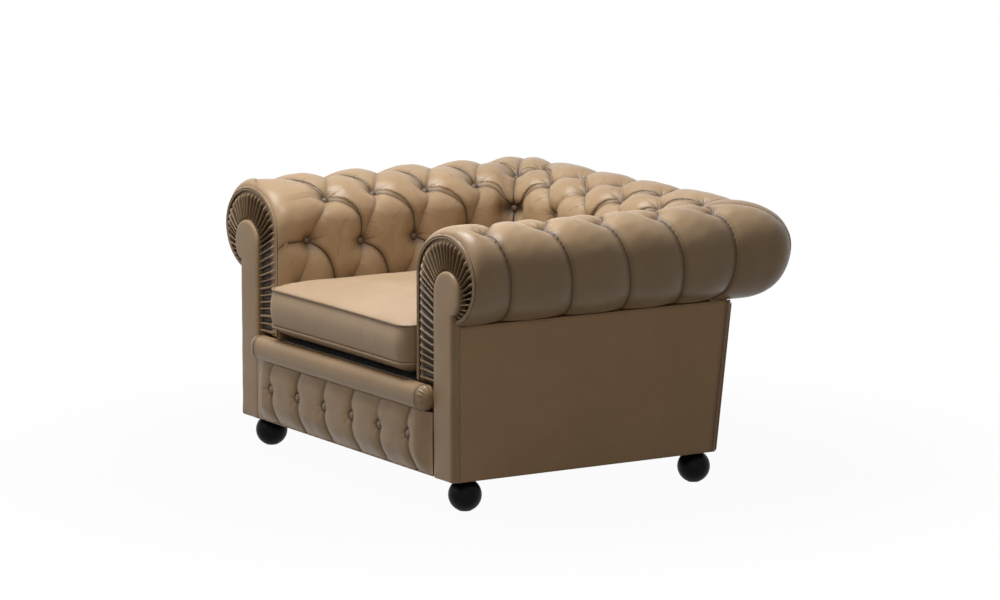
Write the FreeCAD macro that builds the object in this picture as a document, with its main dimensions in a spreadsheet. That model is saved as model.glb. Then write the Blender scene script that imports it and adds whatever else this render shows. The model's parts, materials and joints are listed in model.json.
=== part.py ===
import FreeCAD, Part
import Sketcher
import math
import os
import re
from collections import namedtuple
from FreeCAD import Placement, Rotation, Vector

# Chesterfield armchair: timber frame, springs, buttoned rolls, loose seat cushion and ball feet.
# Millimetres, +Z up, the front faces -Y. Left and right are the sitter's, so left lies at +X.

doc = FreeCAD.newDocument("chesterfield")

SIZES = [
    ("seat_half_width", 346, "centre to the inner face of an arm"),
    ("arm_wide", 184, "inner face of an arm to the outer face of its side panel"),
    ("front_face", 462, "centre to the front of the post leather"),
    ("back_face", 245, "centre to the inner face of the back"),
    ("rear_low_gap", 53, "inner face of the back to the rear panel's bottom edge"),
    ("rear_high_gap", 97, "inner face of the back to the rear panel's top edge"),
    ("body_bottom", 78, "lowest edge of the upholstered body"),
    ("deck_height", 300, "top of the deck under the cushion"),
    ("roll_height", 595, "height of the widest line of the rolls"),
    ("roll_up", 105, "widest line to the top of a roll"),
    ("roll_down", 137, "widest line to the underside of a roll"),
    ("roll_outer", 120, "crown of a roll to its outer side"),
    ("arm_crown", 162, "inner face to the crown of the arm's roll"),
    ("back_crown", 135, "inner face to the crown of the back's roll"),
    ("corner_start", 20, "crown to the axis of the rounded rear corner"),
    ("padding", 34, "leather and sewn wadding of the rolls"),
    ("wall_drop", 30, "how far the inner walls reach below the deck"),
    ("lip_arm", 30, "arm roll's lower lip, inwards from the side panel"),
    ("lip_back", 12, "back roll's lower lip, inwards from the rear panel"),
    ("collar_deep", 47, "post leather's front to where the arm has its full section"),
    ("nose_inset", 3.5, "facing's rear plane to the arm's front edge"),
    ("stuffing_rise", 8, "stuffing's foot over the wadding of the roll's underside"),
    ("post_inset", 88, "width of a front post's leather"),
    ("core_depth", 16, "padded board on the front of a post"),
    ("band_depth", 10, "pleated band round that board"),
    ("board_thick", 18, "plywood facing board"),
    ("board_inset", 4.3, "facing's edge to its board's edge"),
    ("board_step", 6, "post leather's inner edge to the board behind it"),
    ("facing_inset", 6, "inner face of the arm to the facing's edge"),
    ("facing_crown", 138, "facing's inner edge to its crown"),
    ("facing_outer", 133, "facing's crown to its outer edge"),
    ("facing_below", 25, "roll's widest line down to the facing's"),
    ("facing_up", 108, "facing's widest line to its top"),
    ("facing_down", 112, "facing's widest line to its underside"),
    ("head_radius", 60, "rounded head of the post leather"),
    ("head_below", 63, "roll's widest line down to the head's centre"),
    ("head_drop", 44, "head's centre to its lower lip"),
    ("fan_pleats", 24, "pleats that fan round a head"),
    ("level_pleats", 15, "level pleats down the inner side of a post"),
    ("facing_cord", 2.4, "radius of the facing's twin piping"),
    ("facing_cord_in", 3.8, "facing's rear plane to the piping's rear"),
    ("panel_thick", 8, "side and rear panels with their wadding"),
    ("rear_cord", 2, "radius of the cords down the rear edges"),
    ("post_wide", 64, "front and rear posts, side to side"),
    ("post_deep", 50, "front and rear posts, front to rear"),
    ("post_rise", 5, "top of the posts over the roll's widest line"),
    ("frame_gap", 6, "timber frame over the body's lowest edge"),
    ("rail_thick", 32, "thickness of the rails"),
    ("rail_play", 3, "side rails' rear ends to the rear posts"),
    ("side_rail_tall", 90, "height of the side rails"),
    ("deck_build", 38, "seat rails' top to the deck's top"),
    ("rear_rail_up", 10, "body's lowest edge to the rear rail, up the slope"),
    ("rear_rail_low", 4, "front rail's top down to the rear rail's, up the slope"),
    ("tack_tall", 40, "height of the tack rails"),
    ("tack_rise", 6, "tack rails over the foot of the walls"),
    ("tack_gap", 3, "wadding of a wall to its tack rail"),
    ("back_tack_thick", 28, "thickness of the back's tack rail"),
    ("back_rail_down", 2, "back roll's underside to the rail under it"),
    ("roll_rail", 36, "height of the rails inside the rolls"),
    ("roll_rail_wide", 40, "width of the rails inside the rolls"),
    ("roll_rail_down", 4, "post's top to the top of those rails"),
    ("arm_rail_in", 38, "crown of the arm's roll to the inner face of its rail"),
    ("back_rail_in", 76, "crown of the back's roll to the inner face of its rail"),
    ("block_leg", 60, "corner blocks, along the rails"),
    ("block_front_leg", 39, "front corner blocks, along the posts"),
    ("block_rear_leg", 17, "rear corner blocks, along the posts"),
    ("block_tall", 60, "height of the corner blocks"),
    ("block_rise", 26, "corner blocks over the frame's underside"),
    ("strap_wide", 50, "width of the webbing"),
    ("strap_thick", 1.8, "thickness of the webbing"),
    ("arm_straps", 4, "straps of one arm"),
    ("back_straps", 5, "straps of the back"),
    ("strap_margin", 60, "straps of an arm, from its front"),
    ("back_strap_margin", 40, "straps of the back, from the arms' inner faces"),
    ("fit", 0.3, "clearance between fitted pieces"),
    ("foot_flat", 2, "how far the ball of a foot reaches past its flats"),
    ("foot_inset", 44, "side panel's face to a foot's centre"),
    ("foot_front_inset", 57, "post leather's front to a front foot's centre"),
    ("foot_rear_inset", 36, "rear panel's bottom edge to a rear foot's centre"),
    ("bolt_radius", 4, "hanger bolt of a foot"),
    ("bolt_in_foot", 30, "depth of the bolt in its foot"),
    ("bolt_in_post", 40, "depth of the bolt in its post"),
    ("plate_radius", 24, "steel disc between foot and post"),
    ("dust_thick", 2, "space for the cloth under the frame"),
    ("dust_hole", 4, "disc's edge to the edge of the cloth's hole"),
    ("roll_stand", 38, "post leather's front to the nose of the front roll"),
    ("front_roll_deep", 54, "front roll, front to rear"),
    ("front_roll_tall", 64, "height of the front roll"),
    ("roll_over_deck", 4, "front roll's top over the deck"),
    ("front_roll_end", 8, "rounding of the front roll's ends"),
    ("panel_gap", 4, "body's lowest edge to the buttoned panel"),
    ("belly_stand", 28, "post leather's front to the front panel's belly"),
    ("tuck_stand", 4, "post leather's front to the panel's lower edge"),
    ("panel_top_in", 8, "panel's belly back to its upper edge"),
    ("front_button_up", 13, "front buttons over the middle of their panel"),
    ("front_button_margin", 97, "last front button to the post leather"),
    ("front_button_count", 6, "buttons of the front panel"),
    ("front_dimple", 10, "depth of their hollows"),
    ("wire", 2, "radius of the spring wire"),
    ("spring_count", 5, "serpentine springs"),
    ("spring_loop", 18, "radius of a loop of the serpentine springs"),
    ("spring_arm", 20, "straight of a loop of those springs"),
    ("spring_margin", 66, "outer springs to the arms' inner faces"),
    ("spring_front", 4, "front rail's face to the springs' front ends"),
    ("spring_rear", 9, "rear panel's bottom edge to the springs' rear ends"),
    ("clip_long", 24, "spring clips, along the rails"),
    ("clip_wide", 8, "spring clips, across the rails"),
    ("clip_thick", 3, "thickness of the spring clips"),
    ("hessian", 1.5, "thickness of the cloth over the springs"),
    ("deck_cloth", 2, "thickness of the deck cloth"),
    ("button_radius", 10.5, "covered buttons"),
    ("button_thick", 6, "height of a button"),
    ("dimple_radius", 30, "hollow round a button"),
    ("dimple_depth", 22, "depth of that hollow"),
    ("outer_pleat_deep", 9, "depth of the pleats over the outer rolls"),
    ("outer_pleat_wide", 5, "width of those pleats"),
    ("arm_first_in", 84, "post leather's front to the first button of an arm"),
    ("arm_last_in", 143, "inner face of the back to an arm's last low button"),
    ("arm_row_below", 50, "roll's widest line down to an arm's lowest buttons"),
    ("back_row_below", 10, "roll's widest line down to the back's lowest buttons"),
    ("arm_middle_angle", 42, "arm's second row round its roll, in degrees"),
    ("arm_high_angle", 98, "arm's third row round its roll, in degrees"),
    ("back_middle_angle", 50, "back's second row round its roll, in degrees"),
    ("back_high_angle", 80, "back's third row round its roll, in degrees"),
    ("arm_stretch", 1.03, "spacing of the arm's third row over the others'"),
    ("back_stretch", 1.1, "spacing of the back's third row over the others'"),
    ("corner_low_in", 6, "inner corner to its low button, along each wall"),
    ("corner_high_in", 0.42, "corner's high button, as a share of the way to the crown"),
    ("corner_high_up", 0.78, "corner's high button, as a share of the roll's rise"),
    ("cushion_stand", 19, "post leather's front to the cushion's front seam"),
    ("cushion_belly", 42, "deck to the cushion's lower seam"),
    ("cushion_border", 95, "lower seam to the upper seam"),
    ("cushion_crown", 34, "rise of the cushion's top over its seam"),
    ("cushion_bulge", 4.6, "swell of the cushion's border"),
    ("cushion_corner", 42, "rounding of the cushion's corners in plan"),
    ("cushion_cord", 2.2, "radius of the cushion's piping"),
    ("cushion_cord_off", 1.2, "seam to the nearest point of its piping"),
    ("cushion_play", 6, "seam of the cushion to arm or back"),
]

DERIVED = [
    ("body_half_width", "seat_half_width + arm_wide", "centre to a side panel's outer face"),
    ("rear_low", "back_face + rear_low_gap", "centre to the rear panel's bottom edge"),
    ("rear_high", "back_face + rear_high_gap", "centre to the rear panel's top edge"),
    ("under_roll", "roll_height - roll_down", "underside of the rolls"),
    ("lean", "(rear_high - rear_low) / (under_roll - body_bottom)", "slope of the rear panel"),
    ("wall_foot", "deck_height - wall_drop", "foot of the inner walls"),
    ("facing_height", "roll_height - facing_below", "height of the facing's widest line"),
    ("head_height", "roll_height - head_below", "height of the head's centre"),
    ("post_top", "roll_height + post_rise", "top of the posts"),
    ("frame_bottom", "body_bottom + frame_gap", "underside of the timber frame"),
    ("seat_rail_tall", "deck_height - deck_build - frame_bottom", "height of the seat rails"),
    ("foot_side", "body_half_width - foot_inset", "centre to a foot, sideways"),
    ("foot_front", "front_face - foot_front_inset", "centre to the front feet"),
    ("foot_rear", "rear_low - foot_rear_inset", "centre to the rear feet"),
    ("foot_centre", "body_bottom / 2", "height of a foot's centre"),
    ("foot_radius", "foot_centre + foot_flat", "ball foot"),
    ("bolt_low", "body_bottom - bolt_in_foot", "bolt's lower end"),
    ("bolt_high", "frame_bottom + bolt_in_post", "bolt's upper end"),
    ("front_reach", "front_face + roll_stand", "centre to the nose of the front roll"),
    ("front_roll_high", "deck_height + roll_over_deck", "top of the front roll"),
    ("front_roll_low", "front_roll_high - front_roll_tall", "underside of the front roll"),
    ("panel_low", "body_bottom + panel_gap", "lower edge of the buttoned panel"),
    ("panel_belly", "front_face + belly_stand", "centre to the panel's belly"),
    ("front_button_height", "(panel_low + front_roll_low) / 2 + front_button_up",
     "height of the front panel's buttons"),
    ("front_button_span", "body_half_width - post_inset - front_button_margin",
     "centre to the last front button"),
    ("spring_span", "seat_half_width - spring_margin", "centre to the last spring"),
    ("arm_first", "front_face - arm_first_in", "centre to the first button of an arm"),
    ("arm_pitch", "(back_face - arm_last_in + arm_first) / 3", "spacing of an arm's buttons"),
    ("back_pitch", "seat_half_width / 2", "spacing of the back's buttons"),
    ("arm_row", "roll_height - arm_row_below", "height of an arm's lowest buttons"),
    ("back_row", "roll_height - back_row_below", "height of the back's lowest buttons"),
    ("cushion_front", "front_face + cushion_stand", "centre to the cushion's front seam"),
    ("cushion_seam_low", "deck_height + cushion_belly", "lower seam of the cushion"),
    ("cushion_seam_high", "cushion_seam_low + cushion_border", "upper seam of the cushion"),
]

ALIASES = {name: "Sizes." + name for name, number, note in SIZES}
ALIASES.update({name: "Worked." + name for name, text, note in DERIVED})


def bound(text):
    """An expression in which each name is written with the object that holds it."""
    return re.sub(r"[a-z_]+", lambda found: ALIASES.get(found[0], found[0]), str(text))


sheet = doc.addObject("Spreadsheet::Sheet", "Sizes")
for row, (name, number, note) in enumerate(SIZES, start=1):
    sheet.set(f"A{row}", note)
    sheet.set(f"B{row}", str(number))
    sheet.setAlias(f"B{row}", name)
doc.recompute()

worked = doc.addObject("App::VarSet", "Worked")
for name, text, note in DERIVED:
    worked.addProperty("App::PropertyFloat", name, "Derived", note)
    worked.setExpression(name, bound(text))
    doc.recompute()


class Cells:
    """The sheet's cells and the sizes worked out from them, read as numbers by name."""

    def __getattr__(self, name):
        if ALIASES[name].startswith("Worked."):
            return float(getattr(worked, name))
        return float(sheet.get(name))


size = Cells()
nodes = []


def node(thing, label):
    """Give a finished sub-part its name and keep it for the export."""
    thing.Label = label
    nodes.append(thing)
    return thing


def bind(thing, **expressions):
    """Bind properties to expressions; base_x, base_y and base_z are the Placement."""
    for key, text in expressions.items():
        path = "Placement.Base." + key[-1] if key.startswith("base_") else key
        thing.setExpression(path, bound(text))


def block(name, corner, extent):
    """A box whose corner and extents are expressions."""
    thing = doc.addObject("Part::Box", name)
    length, width, height = extent
    bind(thing, Length=length, Width=width, Height=height)
    bind(thing, base_x=corner[0], base_y=corner[1], base_z=corner[2])
    return thing


def start(side, inner, width):
    """The x of a block's corner, when it lies from inner to inner plus width on a side."""
    return inner if side > 0 else f"-({inner}) - ({width})"


def rod(name, radius, height, x, y, z):
    """An upright cylinder whose sizes and place are expressions."""
    thing = doc.addObject("Part::Cylinder", name)
    bind(thing, Radius=radius, Height=height, base_x=x, base_y=y, base_z=z)
    return thing


def cut(name, base, tools):
    """The base less the tools, as Part booleans."""
    doc.recompute()
    for number, tool in enumerate(tools):
        last = number == len(tools) - 1
        result = doc.addObject("Part::Cut", name if last else f"{name}_cut_{number}")
        result.Base = base
        result.Tool = tool
        base = result
    return base


def shaped(label, shape):
    """A sub-part whose shape is made by Part's own functions."""
    thing = doc.addObject("Part::Feature", label)
    thing.Shape = shape
    thing.Placement = Placement()
    return node(thing, label)


def mirrored(shape, side):
    """The shape itself at +X, or its mirror image at -X."""
    return shape if side > 0 else shape.mirror(Vector(0, 0, 0), Vector(1, 0, 0))


SIDES = (("left", 1), ("right", -1))


# Sketched bodies

def origin_plane(body, role):
    """One of the body's own origin planes."""
    return next(item for item in body.Origin.OriginFeatures if item.Role == role)


def polygon(body, role, corners):
    """A closed sketch on an origin plane; each corner is a pair of expressions."""
    sketch = body.newObject("Sketcher::SketchObject", body.Name + "_outline")
    sketch.AttachmentSupport = [(origin_plane(body, role), "")]
    sketch.MapMode = "FlatFace"
    count = len(corners)
    step, reach = 2 * math.pi / count, 100
    rough = [Vector(reach * math.cos(step * k), reach * math.sin(step * k), 0)
             for k in range(count)]
    for k in range(count):
        sketch.addGeometry(Part.LineSegment(rough[k], rough[(k + 1) % count]), False)
    for k in range(count):
        sketch.addConstraint(Sketcher.Constraint("Coincident", k, 2, (k + 1) % count, 1))
    for k, (across, along) in enumerate(corners):
        for way, text, rough_value in (("X", across, rough[k].x), ("Y", along, rough[k].y)):
            place = sketch.addConstraint(
                Sketcher.Constraint("Distance" + way, -1, 1, k, 1, rough_value)
            )
            sketch.renameConstraint(place, f"corner_{k}_{way}")
            sketch.setExpression(f"Constraints.corner_{k}_{way}", bound(text))
    return sketch


def padded_body(label, role, corners, length):
    """A body: one closed outline, padded by a length."""
    body = doc.addObject("PartDesign::Body", label)
    sketch = polygon(body, role, corners)
    pad = body.newObject("PartDesign::Pad", label + "_pad")
    pad.Profile = sketch
    pad.setExpression("Length", bound(length))
    sketch.Visibility = False
    return body


# The rear of the chair leans back, and so do its posts and rails.

def leaning(name, x, depth_from, up_from, extent):
    """A box in the leaning frame: depth_from is behind the rear face (negative is
    forward) and up_from is measured up the slope from the body's bottom edge."""
    thing = doc.addObject("Part::Box", name)
    bind(thing, Length=extent[0], Width=extent[1], Height=extent[2])
    thing.Placement = Placement(Vector(), Rotation(Vector(-1, 0, 0), 1))
    thing.setExpression("Placement.Rotation.Angle", bound("atan(lean)"))
    bind(
        thing,
        base_x=x,
        base_y=f"rear_low + ({depth_from}) * cos(atan(lean)) + ({up_from}) * sin(atan(lean))",
        base_z=f"body_bottom - ({depth_from}) * sin(atan(lean)) + ({up_from}) * cos(atan(lean))",
    )
    return thing


# Timber frame

POST_INNER = "body_half_width - panel_thick - fit - post_wide"
POST_FRONT = "-front_face + core_depth + board_thick + 2 * fit"
BEHIND_POST = f"({POST_FRONT} + post_deep + fit)"
RAIL_SIDE = "body_half_width - panel_thick - fit - rail_thick"
BORE = "bolt_radius + fit"
BORE_PAST = "2"


def rear_end(height):
    """The y at which a rail of a given height ends, in front of the rear posts."""
    return f"(rear_low - panel_thick - post_deep - rail_play + lean * ({height} - body_bottom))"


def front_posts():
    """Front posts, bored from below for the bolts of the feet."""
    for name, side in SIDES:
        post = block(
            "tool_front_post_" + name,
            (start(side, POST_INNER, "post_wide"), POST_FRONT, "frame_bottom"),
            ("post_wide", "post_deep", "post_top - frame_bottom"),
        )
        bore = rod(
            "tool_front_bore_" + name, BORE, f"bolt_in_post + 2 * {BORE_PAST}",
            f"{side} * foot_side", "-foot_front", f"frame_bottom - {BORE_PAST}",
        )
        node(cut("front_post_" + name, post, [bore]), "front_post_" + name)


def rear_posts():
    """Rear posts, which lean with the back of the chair."""
    spare = "20"
    for name, side in SIDES:
        post = leaning(
            "tool_rear_post_" + name, start(side, POST_INNER, "post_wide"),
            "-panel_thick - fit - post_deep", f"-{spare}",
            ("post_wide", "post_deep", f"post_top - body_bottom + {spare}"),
        )
        foot_flat = block(
            "tool_rear_flat_" + name,
            (start(side, f"{POST_INNER} - 1", "post_wide + 2"), "0",
             f"body_bottom - 2 * {spare}"),
            ("post_wide + 2", "rear_high", f"frame_gap + 2 * {spare}"),
        )
        bore = rod(
            "tool_rear_bore_" + name, BORE, f"bolt_in_post + 2 * {BORE_PAST}",
            f"{side} * foot_side", "foot_rear", f"frame_bottom - {BORE_PAST}",
        )
        node(cut("rear_post_" + name, post, [foot_flat, bore]), "rear_post_" + name)


def seat_rails():
    """Front rail, leaning rear rail and the two side rails of the seat."""
    half = f"({POST_INNER} - fit)"
    front = block(
        "front_rail",
        (f"-{half}", "-front_face + core_depth + fit", "frame_bottom"),
        (f"2 * {half}", "rail_thick", "seat_rail_tall"),
    )
    node(front, "front_rail")
    rear = leaning(
        "rear_rail", f"-{half}", "-panel_thick - fit - rail_thick", "rear_rail_up",
        (f"2 * {half}", "rail_thick",
         "frame_gap + seat_rail_tall - rear_rail_up - rear_rail_low"),
    )
    node(rear, "rear_rail")
    for name, side in SIDES:
        rail = block(
            "side_rail_" + name,
            (start(side, RAIL_SIDE, "rail_thick"), BEHIND_POST, "frame_bottom"),
            ("rail_thick", f"{rear_end('frame_bottom')} - {BEHIND_POST}", "side_rail_tall"),
        )
        node(rail, "side_rail_" + name)


def arm_rails():
    """Under-roll rails, rails inside the rolls and tack rails of both arms."""
    under_low = "(under_roll - fit - tack_tall)"
    roll_low = "(post_top - roll_rail - roll_rail_down)"
    for name, side in SIDES:
        under = block(
            "arm_rail_" + name,
            (start(side, RAIL_SIDE, "rail_thick"), BEHIND_POST, under_low),
            ("rail_thick", f"{rear_end(under_low)} - {BEHIND_POST}", "tack_tall"),
        )
        node(under, "arm_rail_" + name)
        roll = block(
            "arm_roll_rail_" + name,
            (start(side, "seat_half_width + arm_crown - arm_rail_in", "roll_rail_wide"),
             BEHIND_POST, roll_low),
            ("roll_rail_wide", f"{rear_end(roll_low)} - {BEHIND_POST}", "roll_rail"),
        )
        node(roll, "arm_roll_rail_" + name)
        tack = block(
            "arm_tack_rail_" + name,
            (start(side, "seat_half_width + padding + tack_gap", "rail_thick"), POST_FRONT,
             "wall_foot + tack_rise"),
            ("rail_thick", f"back_face + padding + tack_gap - ({POST_FRONT})", "tack_tall"),
        )
        node(tack, "arm_tack_rail_" + name)


def back_rails():
    """Tack rail, under-roll rail and the rail inside the roll of the back."""
    half = f"({POST_INNER} - fit)"
    tack = block(
        "back_tack_rail",
        (f"-{half}", "back_face + padding + tack_gap + fit", "wall_foot + tack_rise"),
        (f"2 * {half}", "back_tack_thick", "tack_tall"),
    )
    node(tack, "back_tack_rail")
    under = leaning(
        "back_rail", f"-{half}", "-panel_thick - fit - rail_thick",
        "under_roll - body_bottom - tack_tall - back_rail_down",
        (f"2 * {half}", "rail_thick", "tack_tall"),
    )
    node(under, "back_rail")
    roll = block(
        "back_roll_rail",
        (f"-{half}", "back_face + back_crown - back_rail_in",
         "post_top - roll_rail - roll_rail_down"),
        (f"2 * {half}", "roll_rail_wide", "roll_rail"),
    )
    node(roll, "back_roll_rail")


def corner_blocks():
    """Glued corner blocks between the rails and the posts, one node of four solids."""
    inner = size.body_half_width - size.panel_thick - 2 * size.fit - size.post_wide
    front = -size.front_face + size.core_depth + size.rail_thick + 2 * size.fit
    low = size.frame_bottom + size.block_rise
    rear = (
        size.rear_low - size.panel_thick - size.rail_thick - 2
        + size.lean * (low - size.body_bottom)
    )
    solids = []
    for side in (1, -1):
        for y, leg in ((front, size.block_front_leg), (rear, -size.block_rear_leg)):
            points = [
                Vector(side * inner, y, low),
                Vector(side * (inner - size.block_leg), y, low),
                Vector(side * inner, y + leg, low),
                Vector(side * inner, y, low),
            ]
            wedge = Part.Face(Part.makePolygon(points))
            solids.append(wedge.extrude(Vector(0, 0, size.block_tall)))
    shaped("corner_blocks", Part.makeCompound(solids))


# Feet

def feet():
    """Ball feet, flat where they stand and where they meet their discs, bored for bolts."""
    places = (("front", "-foot_front"), ("rear", "foot_rear"))
    for name, side in SIDES:
        for end, y in places:
            label = f"foot_{end}_{name}"
            ball = doc.addObject("Part::Sphere", "tool_" + label)
            bind(
                ball, Radius="foot_radius", Angle1="-asin(foot_centre / foot_radius)",
                Angle2="asin((body_bottom - foot_centre) / foot_radius)",
                base_x=f"{side} * foot_side", base_y=y, base_z="foot_centre",
            )
            bore = rod(
                "tool_bore_" + label, BORE, f"bolt_in_foot + 2 * {BORE_PAST}",
                f"{side} * foot_side", y, f"bolt_low - {BORE_PAST}",
            )
            node(cut(label, ball, [bore]), label)


def foot_places():
    """The centres of the four feet on the floor."""
    return [
        Vector(side * size.foot_side, y, 0)
        for name, side in SIDES
        for y in (-size.foot_front, size.foot_rear)
    ]


def foot_fixings():
    """Hanger bolts and steel discs of the feet, each kind one node of four solids."""
    bolts = [
        Part.makeCylinder(size.bolt_radius, size.bolt_high - size.bolt_low,
                          place + Vector(0, 0, size.bolt_low))
        for place in foot_places()
    ]
    shaped("foot_bolts", Part.makeCompound(bolts))
    low = size.body_bottom + size.fit
    discs = []
    for place in foot_places():
        tall = size.frame_bottom - size.fit - low
        disc = Part.makeCylinder(size.plate_radius, tall, place + Vector(0, 0, low))
        bore = Part.makeCylinder(size.bolt_radius + size.fit, tall + 2,
                                 place + Vector(0, 0, low - 1))
        discs.append(disc.cut(bore))
    shaped("foot_discs", Part.makeCompound(discs))


def dust_cover():
    """Cloth under the frame, with a hole round each foot's disc."""
    sheet_box = block(
        "tool_dust_sheet",
        ("-(body_half_width - panel_thick - fit)", "-front_face + core_depth",
         "frame_bottom - dust_thick"),
        ("2 * (body_half_width - panel_thick - fit)",
         "front_face - core_depth + rear_low - panel_thick - 1", "dust_thick - fit"),
    )
    holes = []
    for name, side in SIDES:
        for end, y in (("front", "-foot_front"), ("rear", "foot_rear")):
            holes.append(rod(f"tool_dust_hole_{end}_{name}", "plate_radius + dust_hole",
                             "4 * dust_thick", f"{side} * foot_side", y,
                             "frame_bottom - 2 * dust_thick"))
    node(cut("dust_cover", sheet_box, holes), "dust_cover")


# Outlines of the rolls

def line(first, second):
    """A straight edge."""
    return Part.LineSegment(first, second).toShape()


def quarter_curve(first, corner, last):
    """An exact quarter of an ellipse, inside the right angle at corner."""
    curve = Part.BSplineCurve()
    weights = [1, math.sqrt(0.5), 1]
    curve.buildFromPolesMultsKnots([first, corner, last], [3, 3], [0, 1], False, 2, weights)
    return curve


def quarter(first, corner, last):
    """That quarter as an edge."""
    return quarter_curve(first, corner, last).toShape()


class Roll:
    """A roll's outline in its own plane: u runs outwards across the roll, z is height."""

    def __init__(self, face, crown, outer, height, up, down, foot, floor):
        self.crown_u = face + crown
        self.crown, self.outer = crown, outer
        self.height, self.up, self.down = height, up, down
        self.foot, self.floor = foot, floor

    def shrunk(self, by, foot_by=0, floor_by=0):
        """The outline moved inwards all round by a distance."""
        face = self.crown_u - self.crown + by
        return Roll(face, self.crown - by, self.outer - by, self.height, self.up - by,
                    self.down - by, self.foot + foot_by, self.floor + floor_by)

    def edges(self, at):
        """The closed outline; at(u, z) gives the point in space."""
        inner, outer = self.crown_u - self.crown, self.crown_u + self.outer
        top, low = self.height + self.up, self.height - self.down
        return [
            line(at(inner, self.floor), at(inner, self.height)),
            quarter(at(inner, self.height), at(inner, top), at(self.crown_u, top)),
            quarter(at(self.crown_u, top), at(outer, top), at(outer, self.height)),
            quarter(at(outer, self.height), at(outer, low), at(self.crown_u, low)),
            line(at(self.crown_u, low), at(self.foot, low)),
            line(at(self.foot, low), at(self.foot, self.floor)),
            line(at(self.foot, self.floor), at(inner, self.floor)),
        ]

    def wire(self, at):
        """The outline as a wire."""
        return Part.Wire(self.edges(at))

    def on_inside(self, degrees):
        """Point and outward normal on the inner quarter, by its angle from level."""
        turn = math.radians(degrees)
        u = self.crown_u - self.crown * math.cos(turn)
        z = self.height + self.up * math.sin(turn)
        normal = Vector(-math.cos(turn) / self.crown, math.sin(turn) / self.up, 0)
        return u, z, normal.normalize()


def arm_roll():
    """The arm's outline, with u along x."""
    return Roll(size.seat_half_width, size.arm_crown, size.roll_outer, size.roll_height,
                size.roll_up, size.roll_down, size.body_half_width - size.lip_arm,
                size.wall_foot)


def back_roll():
    """The back's outline, with u along y."""
    return Roll(size.back_face, size.back_crown, size.roll_outer, size.roll_height,
                size.roll_up, size.roll_down, size.rear_high - size.lip_back,
                size.wall_foot)


def facing_outline(inset=0):
    """The edge of the scrolled facing at the front of an arm."""
    outline = Roll(size.seat_half_width + size.facing_inset, size.facing_crown,
                   size.facing_outer, size.facing_height, size.facing_up, size.facing_down,
                   size.body_half_width - size.lip_arm, size.deck_height + size.facing_inset)
    return outline.shrunk(inset)


def across(y):
    """Points of an upright plane across the chair, at a given y."""
    return lambda u, z: Vector(u, y, z)


def along(x):
    """Points of an upright plane along the chair, at a given x."""
    return lambda u, z: Vector(x, u, z)


def prism(points, low, high):
    """An upright prism on a plan outline of (x, y) corners."""
    loop = [Vector(x, y, low) for x, y in points]
    return Part.Face(Part.makePolygon(loop + loop[:1])).extrude(Vector(0, 0, high - low))


def mitre():
    """Inner corner, crown corner and axis of the rounded corner, in plan at +X."""
    inner = (size.seat_half_width, size.back_face)
    crown = (inner[0] + size.arm_crown, inner[1] + size.back_crown)
    axis = (crown[0] + size.corner_start, crown[1] + size.corner_start)
    return inner, crown, axis


def before_inner_corner():
    """A point on the mitre line a little before the inner corner."""
    inner, crown, axis = mitre()
    back_off = 0.1
    return tuple(a - back_off * (b - a) for a, b in zip(inner, crown))


def arm_plan(front):
    """The arm's ground up to the mitre, from a given front."""
    inner, crown, axis = mitre()
    near = before_inner_corner()
    beyond = crown[0] + size.roll_outer + 20
    return [near, crown, axis, (beyond, axis[1]), (beyond, front), (near[0], front)]


def back_plan():
    """The back's ground between the two mitres."""
    inner, crown, axis = mitre()
    near = before_inner_corner()
    beyond = crown[1] + size.roll_outer + 20
    half = [near, crown, axis, (axis[0], beyond)]
    return half + [(-x, y) for x, y in reversed(half)]


def section(roll, at, inset, hollow):
    """A face: the outline moved in by inset, less the hollow inside it if any."""
    face = Part.Face(roll.shrunk(inset).wire(at))
    if hollow:
        inner = roll.shrunk(hollow, foot_by=1, floor_by=-1)
        face = face.cut(Part.Face(inner.wire(at)))
    return face


def rounded_corner(inset, hollow, first, turn):
    """Part of the rounded rear corner, turned about its axis from a first angle."""
    inner, crown, axis = mitre()
    face = section(arm_roll(), across(axis[1]), inset, hollow)
    keep = Part.makeBox(2 * size.roll_outer, 2, size.roll_height * 2,
                        Vector(axis[0], axis[1] - 1, 0))
    face = face.common(keep)
    pivot = Vector(axis[0], axis[1], 0)
    face.rotate(pivot, Vector(0, 0, 1), first)
    return face.revolve(pivot, Vector(0, 0, 1), turn)


def arm_length(inset, hollow, front):
    """The arm's roll at +X from a given front to the middle of the rear corner."""
    beyond = mitre()[2][1] + 60
    body = section(arm_roll(), across(front), inset, hollow).extrude(
        Vector(0, beyond - front, 0))
    body = body.common(prism(arm_plan(front - 1), 0, size.roll_height * 2))
    return body.fuse(rounded_corner(inset, hollow, 0, 45)).removeSplitter()


def back_length(inset, hollow):
    """The back's roll between the middles of the two rear corners."""
    beyond = mitre()[2][0] + 60
    body = section(back_roll(), along(-beyond), inset, hollow).extrude(
        Vector(2 * beyond, 0, 0))
    body = body.common(prism(back_plan(), 0, size.roll_height * 2))
    corner = rounded_corner(inset, hollow, 45, 45)
    return body.fuse([corner, mirrored(corner, -1)]).removeSplitter()


# Buttoned forms: hollows, pleats and buttons

def spot(u, z, normal, place, arm):
    """A point on a roll and its outward normal in space, on the arm at +X or on the back."""
    if arm:
        return Vector(u, place, z), Vector(normal.x, 0, normal.y)
    return Vector(place, u, z), Vector(0, normal.x, normal.y)


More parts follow.
